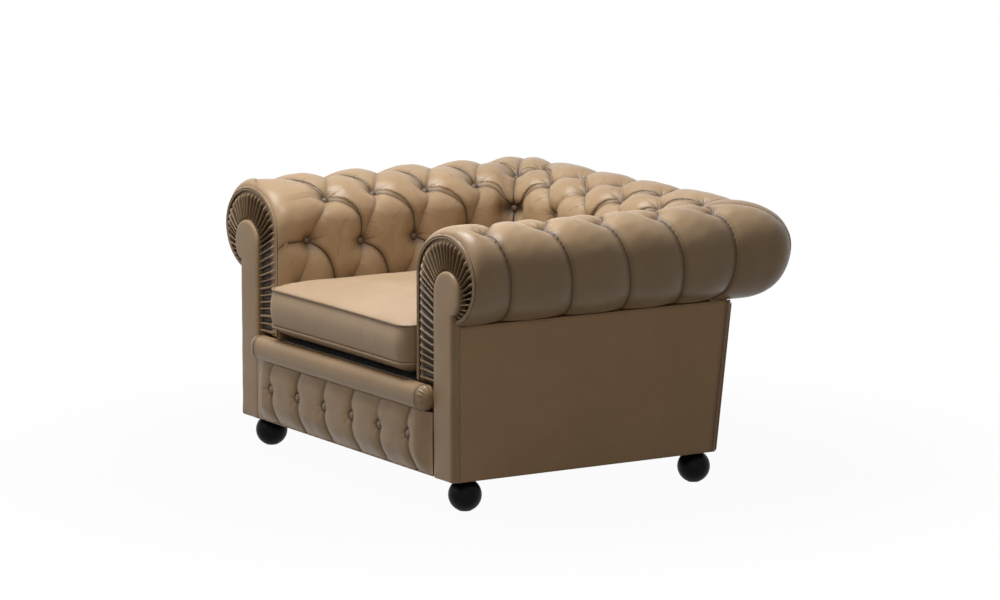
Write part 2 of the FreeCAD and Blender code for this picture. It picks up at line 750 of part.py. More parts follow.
def button_spots(arm):
    """Three rows of (point, normal): low on the inside, where the roll starts, at its top."""
    roll = arm_roll() if arm else back_roll()
    face = roll.crown_u - roll.crown
    level = Vector(-1, 0, 0)
    if arm:
        first, pitch = -size.arm_first, size.arm_pitch
        middle_spot = roll.on_inside(size.arm_middle_angle)
        high_spot = roll.on_inside(size.arm_high_angle)
        low = [spot(face, size.arm_row, level, first + k * pitch, True) for k in range(4)]
        middle = [spot(*middle_spot, first + (k + 0.5) * pitch, True) for k in range(4)]
        pitch *= size.arm_stretch
        return low, middle, [spot(*high_spot, first + k * pitch, True) for k in range(5)]
    pitch = size.back_pitch
    middle_spot = roll.on_inside(size.back_middle_angle)
    high_spot = roll.on_inside(size.back_high_angle)
    low = [spot(face, size.back_row, level, k * pitch, False) for k in (-1, 0, 1)]
    middle = [spot(*middle_spot, k * pitch, False) for k in (-1.5, -0.5, 0.5, 1.5)]
    pitch *= size.back_stretch
    return low, middle, [spot(*high_spot, k * pitch, False) for k in (-2, -1, 0, 1, 2)]


def corner_spots(side):
    """The two buttons in an inner rear corner."""
    inner, crown, axis = mitre()
    diagonal = Vector(-1, -1, 0).normalize()
    rise = Vector(-0.5, -0.5, 0.7).normalize()
    low = Vector(inner[0] + size.corner_low_in, inner[1] + size.corner_low_in, size.back_row)
    share = size.corner_high_in
    high = Vector(inner[0] + share * size.arm_crown, inner[1] + share * size.back_crown,
                  size.roll_height + size.roll_up * size.corner_high_up)
    found = [(low, diagonal), (high, rise)]
    return [(Vector(side * p.x, p.y, p.z), Vector(side * n.x, n.y, n.z)) for p, n in found]


def dimple(point, normal, deep):
    """The hollow that a button pulls into the padding."""
    return Part.makeSphere(size.dimple_radius, point + normal * (size.dimple_radius - deep))


def button(point, normal, deep):
    """A covered button, seated on the rim of its hollow's floor."""
    sag = size.dimple_radius - math.sqrt(size.dimple_radius ** 2 - size.button_radius ** 2)
    base = point - normal * (deep - sag - size.fit)
    disc = Part.makeCylinder(size.button_radius, size.button_thick, base, normal)
    top = max(disc.Edges, key=lambda e: e.CenterOfMass.dot(normal))
    return disc.makeFillet(size.button_thick * 0.55, [top])


# A groove's depth below the line it follows, its rise above it, and half its width up there.

Groove = namedtuple("Groove", "depth rise half_width")
ROLL_PLEAT = Groove(7, 26, 9)
WALL_PLEAT = Groove(7, 8, 5)
GATHER = Groove(3.5, 3, 4)
PANEL_PLEAT = Groove(5, 14, 5.5)
WALL_PLEAT_FOOT = 130


def pleat(first, last, normal, groove):
    """A V groove along the line between two points, open towards the normal."""
    way = last - first
    sideways = way.cross(normal).normalize() * groove.half_width
    upwards = way.cross(sideways).normalize()
    if upwards.dot(normal) < 0:
        upwards = upwards * -1
    points = [
        first - upwards * groove.depth,
        first + upwards * groove.rise + sideways,
        first + upwards * groove.rise - sideways,
    ]
    return Part.Face(Part.makePolygon(points + points[:1])).extrude(way)


def outer_pleat(roll, at, way, start_u):
    """A groove over the outer side of a roll, in an upright plane, from start_u outwards."""
    clear = 10
    outside = Part.Face(roll.shrunk(-4).wire(at))
    inside = Part.Face(roll.shrunk(size.outer_pleat_deep).wire(at))
    low, high = roll.height - roll.down + 6, roll.height + roll.up + clear
    far = roll.crown_u + roll.outer + clear
    window = Part.Face(Part.makePolygon([
        at(start_u, low), at(far, low), at(far, high), at(start_u, high), at(start_u, low)]))
    groove = outside.cut(inside).common(window).extrude(way * size.outer_pleat_wide)
    groove.translate(way * (size.outer_pleat_wide / -2))
    return groove


def zigzag(lower, upper, reach):
    """Pleats from each spot of one row to its neighbours in the next."""
    made = []
    for first, first_normal in lower:
        for last, last_normal in upper:
            if (Vector(first.x, first.y, 0) - Vector(last.x, last.y, 0)).Length < reach:
                made.append(pleat(first, last, first_normal + last_normal, ROLL_PLEAT))
    return made


def wall_fan(low, step, under):
    """Pleats from each low button down to the two places half a pitch to its sides."""
    made = []
    for point, normal in low:
        for way in (step, step * -1):
            foot = Vector(point.x, point.y, under) + way
            made.append(pleat(point, foot, normal, WALL_PLEAT))
    return made


def arm_cutters():
    """Everything that buttoning takes out of the arm at +X."""
    low, middle, high = button_spots(True)
    roll = arm_roll()
    made = [dimple(p, n, size.dimple_depth) for p, n in low + middle + high]
    made += zigzag(low, middle, size.arm_pitch * 0.75)
    made += zigzag(middle, high, size.arm_pitch * 1.2)
    made += wall_fan(low, Vector(0, size.arm_pitch / 2, 0), size.deck_height + WALL_PLEAT_FOOT)
    point, normal = low[0]
    front = Vector(point.x, -size.front_face, point.z)
    made.append(pleat(point, front, normal, WALL_PLEAT))
    for point, normal in high:
        made.append(outer_pleat(roll, across(point.y), Vector(0, 1, 0), point.x))
    return made


def back_cutters():
    """Everything that buttoning takes out of the back."""
    low, middle, high = button_spots(False)
    roll = back_roll()
    made = [dimple(p, n, size.dimple_depth) for p, n in low + middle + high]
    made += zigzag(low, middle, size.back_pitch * 0.75)
    made += zigzag(middle, high, size.back_pitch * 0.95)
    made += wall_fan(low, Vector(size.back_pitch / 2, 0, 0), size.deck_height + WALL_PLEAT_FOOT)
    for point, normal in high:
        made.append(outer_pleat(roll, along(point.x), Vector(1, 0, 0), point.y))
    return made


def corner_cutters(side):
    """Hollows and pleats of an inner rear corner, which take from arm and back alike."""
    spots = corner_spots(side)
    made = [dimple(p, n, size.dimple_depth) for p, n in spots]
    (low, low_normal), (high, high_normal) = spots
    arm_middle = button_spots(True)[1][-1]
    back_middle = button_spots(False)[1][-1]
    for point, normal in (arm_middle, back_middle):
        there = Vector(side * point.x, point.y, point.z)
        leaning_out = Vector(side * normal.x, normal.y, normal.z)
        made.append(pleat(low, there, low_normal + leaning_out, ROLL_PLEAT))
    made.append(pleat(low, high, low_normal + high_normal, ROLL_PLEAT))
    crown = mitre()[1]
    past = 40
    beyond = Vector(side * (crown[0] + past), crown[1] + past,
                    size.roll_height + size.roll_up - 6)
    made.append(pleat(high, beyond, high_normal + Vector(0, 0, 1), ROLL_PLEAT))
    return made


def cleared(shape, tools):
    """The shape less all tools, as one solid: the largest that is left."""
    result = shape.cut(tools)
    return max(result.Solids, key=lambda solid: solid.Volume)


def frame_tools(names):
    """Timber pieces grown by the fit, to cut seats for them out of the upholstery."""
    doc.recompute()
    tools = []
    for thing in nodes:
        if any(thing.Label.startswith(name) for name in names):
            box = thing.Shape.BoundBox
            if thing.Label.startswith("rear_post"):
                tools.append(thing.Shape.makeOffsetShape(size.fit, 0.01, join=2))
                continue
            grow = Vector(size.fit, size.fit, size.fit)
            corner = Vector(box.XMin, box.YMin, box.ZMin) - grow
            tools.append(Part.makeBox(box.XLength + 2 * grow.x, box.YLength + 2 * grow.y,
                                      box.ZLength + 2 * grow.z, corner))
    return tools


def facing_prism(inset, front, rear, spill=0):
    """The filled facing outline between two planes; spill widens its foot and floor."""
    outline = facing_outline(inset).shrunk(0, foot_by=spill, floor_by=-spill)
    face = Part.Face(outline.wire(across(front)))
    return face.extrude(Vector(0, rear - front, 0))


def arm_covers():
    """Buttoned leather and wadding of both arms, rounded down to the facing in front."""
    full_section = -size.front_face + size.collar_deep
    nose = -size.front_face + size.core_depth - size.nose_inset
    body = arm_length(0, size.padding, full_section)
    outline_front = facing_outline().wire(across(nose))
    outline_rear = arm_roll().wire(across(full_section))
    collar = Part.makeLoft([outline_front, outline_rear], True, True)
    board_rear = -size.front_face + size.core_depth + size.board_thick + 2 * size.fit
    collar = collar.cut(facing_prism(size.board_inset - size.fit, nose - 1, board_rear, 5))
    hollow = arm_roll().shrunk(size.padding, foot_by=1, floor_by=-1)
    deep = size.collar_deep
    hollow = Part.Face(hollow.wire(across(board_rear - 1))).extrude(Vector(0, deep, 0))
    low = size.wall_foot - 10
    board_foot = Part.makeBox(size.post_inset + size.lip_arm, deep, size.facing_height - 10 - low,
                              Vector(size.body_half_width - size.post_inset, nose - 1, low))
    collar = collar.cut([hollow, board_foot])
    cover = body.fuse(collar)
    seats = frame_tools(["front_post_left", "rear_post_left", "arm_tack_rail_left"])
    tall = size.front_roll_tall + 2 * size.wall_drop
    seats.append(Part.makeBox(
        size.body_half_width - size.post_inset, size.front_roll_deep + 2 * size.fit, tall,
        Vector(0, -size.front_reach, size.front_roll_high + size.fit - tall)))
    cover = cleared(cover, arm_cutters() + corner_cutters(1) + seats)
    for name, side in SIDES:
        shaped("arm_cover_" + name, mirrored(cover, side))


def back_cover():
    """Buttoned leather and wadding of the back, with both outer corners."""
    body = back_length(0, size.padding)
    seats = frame_tools(["rear_post", "arm_tack_rail"])
    cutters = back_cutters() + corner_cutters(1) + corner_cutters(-1)
    shaped("back_cover", cleared(body, cutters + seats))


def stuffing():
    """Hair and foam that fill the rolls round their rails."""
    gap = size.padding + size.fit
    low = size.under_roll + size.padding + size.stuffing_rise
    far = 3 * (size.body_half_width + size.rear_high)
    keep = Part.makeBox(far, far, size.roll_height, Vector(far / -2, far / -2, low))
    front = -size.front_face + size.core_depth + size.board_thick + 2 * size.fit
    arm = arm_length(gap, 0, front).common(keep)
    tools = frame_tools(["front_post_left", "rear_post_left", "arm_roll_rail_left",
                         "back_roll_rail"])
    arm = cleared(arm, tools)
    for name, side in SIDES:
        shaped("arm_stuffing_" + name, mirrored(arm, side))
    back = back_length(gap, 0).common(keep)
    back = cleared(back, frame_tools(["rear_post", "back_roll_rail", "arm_roll_rail"]))
    shaped("back_stuffing", back)


def webbing():
    """Straps that carry the inner walls of arms and back, stretched over the tack rails."""
    wide, thick = size.strap_wide, size.strap_thick
    low = size.wall_foot + size.tack_rise + 2
    tall = size.under_roll + size.padding + size.stuffing_rise - 1 - low
    behind = size.padding + size.fit
    first, last = size.strap_margin - size.front_face, size.back_face - 90
    count = int(size.arm_straps)
    for name, side in SIDES:
        x = size.seat_half_width + behind
        x = x if side > 0 else -x - thick
        made = [
            Part.makeBox(thick, wide, tall,
                         Vector(x, first + (last - first) * k / (count - 1), low))
            for k in range(count)
        ]
        shaped("arm_webbing_" + name, Part.makeCompound(made))
    count = int(size.back_straps)
    reach = size.seat_half_width - size.back_strap_margin
    made = [
        Part.makeBox(wide, thick, tall, Vector(
            -reach + (2 * reach - wide) * k / (count - 1), size.back_face + behind, low))
        for k in range(count)
    ]
    shaped("back_webbing", Part.makeCompound(made))


# Facings at the front of the arms

def core_face(y, grow=0):
    """The outline of a front post's leather with its rounded head."""
    inner = size.body_half_width - size.post_inset - grow
    middle = inner + size.head_radius + grow
    outer = middle + size.head_radius + grow
    top = size.head_height + size.head_radius + grow
    lip = size.head_height - size.head_drop - grow
    edge = size.body_half_width + grow
    low = size.body_bottom - grow
    at = across(y)
    return Part.Face(Part.Wire([
        line(at(inner, low), at(inner, size.head_height)),
        quarter(at(inner, size.head_height), at(inner, top), at(middle, top)),
        quarter(at(middle, top), at(outer, top), at(outer, size.head_height)),
        quarter(at(outer, size.head_height), at(outer, lip), at(edge, lip)),
        line(at(edge, lip), at(edge, low)),
        line(at(edge, low), at(inner, low)),
    ]))


def facing_boards():
    """Scrolled plywood boards that give the arms their front shape."""
    front = -size.front_face + size.core_depth + size.fit
    scroll = facing_prism(size.board_inset, front, front + size.board_thick)
    inner = size.body_half_width - size.post_inset + size.board_step
    outer = size.body_half_width - size.panel_thick - size.fit
    post = Part.makeBox(outer - inner, size.board_thick, size.under_roll - size.frame_bottom,
                        Vector(inner, front, size.frame_bottom))
    rail = frame_tools(["front_rail"])
    board = cleared(scroll.fuse(post).removeSplitter(), rail)
    for name, side in SIDES:
        shaped("facing_board_" + name, mirrored(board, side))


def pleat_fan(front):
    """V grooves of the gathered band: fanned round the head, level down the inner side."""
    head = Vector(size.body_half_width - size.post_inset + size.head_radius, front,
                  size.head_height)
    out = Vector(0, -1, 0)
    made = []
    fan = int(size.fan_pleats)
    first, last = -38, 180
    near, far = size.head_radius - 20, size.facing_crown + size.head_radius
    for k in range(fan):
        turn = math.radians(first + (last - first) * k / (fan - 1))
        ray = Vector(math.cos(turn), 0, math.sin(turn))
        made.append(pleat(head + ray * near, head + ray * far, out, GATHER))
    level = int(size.level_pleats)
    low = size.deck_height + size.facing_inset + 8
    for k in range(level):
        z = low + k * (size.head_height - low) / level
        inner = Vector(size.seat_half_width, front, z)
        outer = Vector(size.body_half_width - size.post_inset + 20, front, z)
        made.append(pleat(inner, outer, out, GATHER))
    return made


def facings():
    """Post leather and the gathered band round its head, on both arms."""
    front = -size.front_face
    rear = front + size.core_depth
    core = core_face(front).extrude(Vector(0, size.core_depth, 0))
    inset = 4 * size.facing_cord + 1
    band = facing_prism(inset, rear - size.band_depth, rear)
    grown = core_face(front - 1, size.fit).extrude(Vector(0, size.core_depth + 2, 0))
    band = cleared(band.cut(grown), pleat_fan(rear - size.band_depth))
    for name, side in SIDES:
        shaped("post_leather_" + name, mirrored(core, side))
        shaped("pleated_band_" + name, mirrored(band, side))


def facing_piping():
    """Twin piping round the outer edge of each facing."""
    radius = size.facing_cord
    end_x = size.body_half_width + 5
    tubes = []
    for number in (0, 1):
        outline = facing_outline(radius + number * (2 * radius + 0.1))
        y = -size.front_face + size.core_depth - size.facing_cord_in - radius
        at = across(y)
        inner = outline.crown_u - outline.crown
        outer = outline.crown_u + outline.outer
        top, low = outline.height + outline.up, outline.height - outline.down
        last = quarter_curve(at(outer, outline.height), at(outer, low), at(outline.crown_u, low))
        share = (end_x - outline.crown_u) / outline.outer
        stop = at(end_x, outline.height - outline.down * math.sqrt(1 - share ** 2))
        last.segment(0, last.parameter(stop))
        path = Part.Wire([
            line(at(inner, outline.floor), at(inner, outline.height)),
            quarter(at(inner, outline.height), at(inner, top), at(outline.crown_u, top)),
            quarter(at(outline.crown_u, top), at(outer, top), at(outer, outline.height)),
            last.toShape(),
        ])
        ring = Part.Wire(Part.makeCircle(radius, at(inner, outline.floor), Vector(0, 0, 1)))
        tubes.append(path.makePipeShell([ring], True, False))
    pair = Part.makeCompound(tubes)
    for name, side in SIDES:
        shaped("facing_piping_" + name, mirrored(pair, side))


# Panels

def side_panels():
    """Outer side panels, cut to the lean of the back."""
    front = "-front_face + core_depth + fit"
    high = "under_roll - fit"
    corners = [
        (front, "body_bottom"), ("rear_low", "body_bottom"),
        (f"rear_low + lean * ({high} - body_bottom)", high), (front, high),
    ]
    for name, side in SIDES:
        panel = padded_body("side_panel_" + name, "YZ_Plane", corners, "panel_thick")
        bind(panel, base_x=start(side, "body_half_width - panel_thick", "panel_thick"))
        node(panel, "side_panel_" + name)


def rear_panel():
    """Outer rear panel between the side panels."""
    half = "(body_half_width - panel_thick - fit)"
    tall = "(under_roll - body_bottom) / cos(atan(lean)) - 1.5"
    node(leaning("rear_panel", f"-{half}", "-panel_thick", "0",
                 (f"2 * {half}", "panel_thick", tall)), "rear_panel")


def rear_piping():
    """Cords down the two rear edges of the side panels."""
    radius = size.rear_cord
    foot = Vector(size.body_half_width - size.panel_thick / 2,
                  size.rear_low + radius + 2 * size.fit, size.body_bottom + radius)
    way = Vector(0, size.lean, 1).normalize()
    tall = size.under_roll - size.body_bottom - 3 * radius
    for name, side in SIDES:
        cord = Part.makeCylinder(radius, tall, foot, way)
        shaped("rear_piping_" + name, mirrored(cord, side))


# Front of the seat

def front_roll():
    """Rounded leather roll under the cushion, between the posts."""
    half = size.body_half_width - size.post_inset - size.fit
    nose, rear = -size.front_reach, -size.front_reach + size.front_roll_deep
    low, high = size.front_roll_low, size.front_roll_high
    middle = (low + high) / 2
    round_share = 0.62
    bend = nose + round_share * size.front_roll_deep
    at = along(-half)
    outline = Part.Wire([
        line(at(rear, low), at(bend, low)),
        quarter(at(bend, low), at(nose, low), at(nose, middle)),
        quarter(at(nose, middle), at(nose, high), at(bend, high)),
        line(at(bend, high), at(rear, high)),
        line(at(rear, high), at(rear, low)),
    ])
    roll = Part.Face(outline).extrude(Vector(2 * half, 0, 0))
    ends = [
        edge for edge in roll.Edges
        if abs(abs(edge.CenterOfMass.x) - half) < 0.01 and edge.CenterOfMass.y < bend
        and edge.Curve.TypeId == "Part::GeomBSplineCurve"
    ]
    shaped("front_roll", roll.makeFillet(size.front_roll_end, ends))


def front_button_spots():
    """The row of (point, normal) on the front panel."""
    out = Vector(0, -1, 0)
    count = int(size.front_button_count)
    span = size.front_button_span
    return [
        (Vector(span * (2 * k / (count - 1) - 1), -size.panel_belly, size.front_button_height),
         out)
        for k in range(count)
    ]


def front_panel():
    """Buttoned panel below the front roll, tucked under at its lower edge."""
    half = size.body_half_width - size.post_inset - size.fit
    rear = -size.front_face + size.core_depth
    low, high = size.panel_low, size.front_roll_low - size.fit
    belly, middle = -size.panel_belly, size.front_button_height
    tuck = -size.front_face - size.tuck_stand
    upper = -size.panel_belly + size.panel_top_in
    turn = low + 0.39 * (middle - low)
    at = along(-half)
    outline = Part.Wire([
        line(at(rear, low), at(tuck, low)),
        Part.Arc(at(tuck, low), at(belly + 6, turn), at(belly, middle)).toShape(),
        Part.Arc(at(belly, middle), at(belly + 2, (middle + high) / 2), at(upper, high)).toShape(),
        line(at(upper, high), at(rear, high)),
        line(at(rear, high), at(rear, low)),
    ])
    panel = Part.Face(outline).extrude(Vector(2 * half, 0, 0))
    made = []
    for point, out in front_button_spots():
        made.append(dimple(point, out, size.front_dimple))
        top = Vector(point.x, upper + 2, high + 1)
        bottom = Vector(point.x, tuck, low - 1)
        made.append(pleat(point, top, out, PANEL_PLEAT))
        made.append(pleat(point, bottom, out, PANEL_PLEAT))
    shaped("front_panel", cleared(panel, made))


def buttons():
    """Covered buttons, one node for each arm, the back and the front."""
    deep = size.dimple_depth
    arm = [button(p, n, deep) for row in button_spots(True) for p, n in row]
    for name, side in SIDES:
        shaped("arm_buttons_" + name, Part.makeCompound([mirrored(b, side) for b in arm]))
    back = [button(p, n, deep) for row in button_spots(False) for p, n in row]
    back += [button(p, n, deep) for name, side in SIDES for p, n in corner_spots(side)]
    shaped("back_buttons", Part.makeCompound(back))
    front = [button(p, n, size.front_dimple) for p, n in front_button_spots()]
    shaped("front_buttons", Part.makeCompound(front))


# Seat

def spring_path(x, z, front, rear):
    """A serpentine line of straights and half turns from front to rear."""
    reach, arm = size.spring_loop, size.spring_arm
    turns = int((rear - front) / (2 * reach))
    first = (front + rear) / 2 - turns * reach
    edges = []
    side = 1
    y = first
    for k in range(turns):
        near, far = Vector(x - side * arm / 2, y, z), Vector(x + side * arm / 2, y, z)
        edges.append(line(near, far))
        top = Vector(far.x + side * reach, y + reach, z)
        edges.append(Part.Arc(far, top, Vector(far.x, y + 2 * reach, z)).toShape())
        y += 2 * reach
        side = -side
    return Part.Wire(edges)


def springs():
    """Serpentine springs from the front rail to the rear rail, and their clips."""
    z = size.frame_bottom + size.seat_rail_tall + size.wire + size.fit
    front = -size.front_face + size.core_depth + size.spring_front
    rear = size.rear_low + size.spring_rear
    count = int(size.spring_count)
    wires, clips = [], []
    for k in range(count):
        x = size.spring_span * (2 * k / (count - 1) - 1)
        path = spring_path(x, z, front, rear)
        begin = path.Edges[0].Vertexes[0].Point
        ring = Part.Wire(Part.makeCircle(size.wire, begin, Vector(1, 0, 0)))
        wires.append(path.makePipeShell([ring], True, False))
        for y in (path.BoundBox.YMin, path.BoundBox.YMax - size.clip_wide):
            corner = Vector(x - size.clip_long / 2, y, z + size.wire + size.fit)
            clips.append(Part.makeBox(size.clip_long, size.clip_wide, size.clip_thick, corner))
    shaped("seat_springs", Part.makeCompound(wires))
    shaped("spring_clips", Part.makeCompound(clips))


def deck():
    """Hessian, pad and deck cloth over the springs, one above the other."""
    spring_top = "(frame_bottom + seat_rail_tall + 2 * wire + clip_thick + 3 * fit)"
    pad_low = f"({spring_top} + hessian + fit)"
    half = "(seat_half_width - fit)"
    front = "(-front_reach + front_roll_deep + fit)"
    layers = [
        ("spring_hessian", spring_top, "hessian"),
        ("deck_pad", pad_low, f"deck_height - deck_cloth - fit - {pad_low}"),
        ("deck_cloth", "deck_height - deck_cloth", "deck_cloth"),
    ]
    for label, low, thick in layers:
        layer = block(label, (f"-{half}", front, low),
                      (f"2 * {half}", f"back_face - fit - {front}", thick))
        node(layer, label)


# Loose seat cushion

def cushion_loop(z, inset):
    """A rounded rectangle in plan: the cushion's seam line moved in by inset."""
    half = size.seat_half_width - size.cushion_play - inset
    front = -size.cushion_front + inset
    rear = size.back_face - size.cushion_play - inset
    least = 12
    bend = max(size.cushion_corner - inset * 0.4, least)
    spots = [(half, front), (half, rear), (-half, rear), (-half, front)]
    edges = []
    diagonal = bend * (1 - math.sqrt(0.5))
    for x, y in spots:
        sx = 1 if x > 0 else -1
        sy = 1 if y > 0 else -1
        along_x, along_y = Vector(x - sx * bend, y, z), Vector(x, y - sy * bend, z)
        first, last = (along_x, along_y) if sx * sy < 0 else (along_y, along_x)
        middle = Vector(x - sx * diagonal, y - sy * diagonal, z)
        edges.append((first, middle, last))
    loop = []
    for k, (first, middle, last) in enumerate(edges):
        loop.append(Part.Arc(first, middle, last).toShape())
        loop.append(line(last, edges[(k + 1) % 4][0]))
    return Part.Wire(loop)


# A crowned face's sections: share of the rise, and share of the way in from the seam.

CROWN = ((0, 0), (0.62, 0.3), (0.92, 0.65), (1, 1))


def seat_cushion():
    """The loose cushion: crowned top and belly, swelling border."""
    low, high = size.cushion_seam_low, size.cushion_seam_high
    middle = (low + high) / 2
    border = Part.makeLoft([
        cushion_loop(low, 0), cushion_loop(middle, -size.cushion_bulge), cushion_loop(high, 0),
    ], True, False)
    crown = size.cushion_crown
    drop = low - size.deck_height - size.fit
    top, belly = [
        Part.makeLoft([cushion_loop(z + share * rise, inset * reach)
                       for share, inset in CROWN], True, False)
        for z, rise, reach in ((high, crown, size.seat_half_width * 2 / 3),
                               (low, -drop, size.seat_half_width * 0.58))
    ]
    shaped("seat_cushion", border.fuse([top, belly]))


def cushion_piping():
    """Piping round the upper and the lower seam of the cushion."""
    radius = size.cushion_cord
    off = radius + size.cushion_cord_off
    rings = []
    for z in (size.cushion_seam_low, size.cushion_seam_high):
        path = cushion_loop(z, -off)
        begin = path.OrderedVertexes[0].Point
        edge = path.OrderedEdges[0]
        way = edge.tangentAt(edge.FirstParameter)
        ring = Part.Wire(Part.makeCircle(radius, begin, way))
        rings.append(path.makePipeShell([ring], True, False))
    shaped("cushion_piping", Part.makeCompound(rings))


def build():
    """Make every sub-part."""
    front_posts()
    rear_posts()
    seat_rails()
    arm_rails()
    back_rails()
    corner_blocks()
    feet()
    foot_fixings()
    dust_cover()
    springs()
    deck()
    facing_boards()
    webbing()
    arm_covers()
    back_cover()
    stuffing()
    facings()
    facing_piping()
    side_panels()
    rear_panel()
    rear_piping()
    front_roll()
    front_panel()
    buttons()
    seat_cushion()
    cushion_piping()


def check_and_export():
    """Refuse a broken object; then write one STEP file for each sub-part."""
    doc.recompute()
    for thing in doc.Objects:
        if "Invalid" in thing.State or "Error" in thing.State:
            raise RuntimeError(f"{thing.Label} is in state {thing.State}")
    for thing in nodes:
        if thing.Shape.isNull() or not thing.Shape.isValid() or not thing.Shape.Solids:
            raise RuntimeError(f"{thing.Label} has no valid solid")
    os.makedirs("parts", exist_ok=True)
    for thing in nodes:
        thing.Shape.exportStep(f"parts/{thing.Label}.step")
    print(len(nodes), "sub-parts written")


build()
check_and_export()
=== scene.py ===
"""Chesterfield armchair: leather, cushion, feet and studio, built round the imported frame.

All sizes are in metres. +X is the sitter's left, the front faces -Y and +Z is up. The rolls of
the arms and the back are one surface, which runs from the left arm round both rear corners.
"""

import json
import logging
import math
from dataclasses import dataclass, field
from enum import Enum

import bpy
import numpy as np
from mathutils import Matrix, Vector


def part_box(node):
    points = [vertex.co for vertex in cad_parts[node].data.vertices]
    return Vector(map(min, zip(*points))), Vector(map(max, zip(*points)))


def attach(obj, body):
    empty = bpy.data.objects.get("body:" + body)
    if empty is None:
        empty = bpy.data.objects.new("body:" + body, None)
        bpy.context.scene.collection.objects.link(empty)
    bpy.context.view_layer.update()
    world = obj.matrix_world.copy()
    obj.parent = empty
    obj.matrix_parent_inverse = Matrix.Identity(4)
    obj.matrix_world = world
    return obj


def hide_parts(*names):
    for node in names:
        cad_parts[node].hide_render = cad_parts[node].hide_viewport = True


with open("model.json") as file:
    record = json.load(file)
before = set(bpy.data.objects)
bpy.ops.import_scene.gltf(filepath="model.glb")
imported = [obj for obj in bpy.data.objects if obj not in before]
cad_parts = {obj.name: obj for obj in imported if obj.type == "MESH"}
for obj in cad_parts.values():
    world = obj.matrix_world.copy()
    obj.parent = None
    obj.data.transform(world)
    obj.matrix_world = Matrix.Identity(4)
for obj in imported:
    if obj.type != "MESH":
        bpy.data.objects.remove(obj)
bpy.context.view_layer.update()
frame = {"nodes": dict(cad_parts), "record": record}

log = logging.getLogger("chesterfield")

CHAIR = "chair"
CUSHION = "cushion"

Colour = tuple[float, float, float]


class Side(Enum):
    """The sitter's two sides, with the sign of their x."""

    LEFT = 1
    RIGHT = -1

    @property
    def word(self) -> str:
        """The side's name as node names end in it."""
        return self.name.lower()


# Shader building


class Signal:
    """An output of a shader node. Arithmetic on it adds Math nodes."""

    def __init__(self, nodes: "Nodes", socket: bpy.types.NodeSocket) -> None:
        """Keep the node tree's builder and the socket."""
        self.nodes = nodes
        self.socket = socket

    def __add__(self, other: "Signal | float") -> "Signal":
        """The sum."""
        return self.nodes.math("ADD", self, other)

    def __radd__(self, other: "Signal | float") -> "Signal":
        """The sum, with a number first."""
        return self.nodes.math("ADD", other, self)

    def __sub__(self, other: "Signal | float") -> "Signal":
        """The difference."""
        return self.nodes.math("SUBTRACT", self, other)

    def __rsub__(self, other: "Signal | float") -> "Signal":
        """The difference, with a number first."""
        return self.nodes.math("SUBTRACT", other, self)

    def __mul__(self, other: "Signal | float") -> "Signal":
        """The product."""
        return self.nodes.math("MULTIPLY", self, other)

    def __rmul__(self, other: "Signal | float") -> "Signal":
        """The product, with a number first."""
        return self.nodes.math("MULTIPLY", other, self)

    def __abs__(self) -> "Signal":
        """The value without its sign."""
        return self.nodes.math("ABSOLUTE", self)

    def sine(self) -> "Signal":
        """The sine of an angle in radians."""
        return self.nodes.math("SINE", self)

    def step(self, low: float, high: float) -> "Signal":
        """A smooth step from 0 at low to 1 at high."""
        return self.nodes.make(
            "ShaderNodeMapRange", {"interpolation_type": "SMOOTHSTEP"},
            {"Value": self, "From Min": low, "From Max": high}, "Result")

    def band(self, low: float, peak: float, high: float) -> "Signal":
        """A smooth hump that is 1 at peak and 0 at low and high."""
        return self.step(low, peak) * (1.0 - self.step(peak, high))


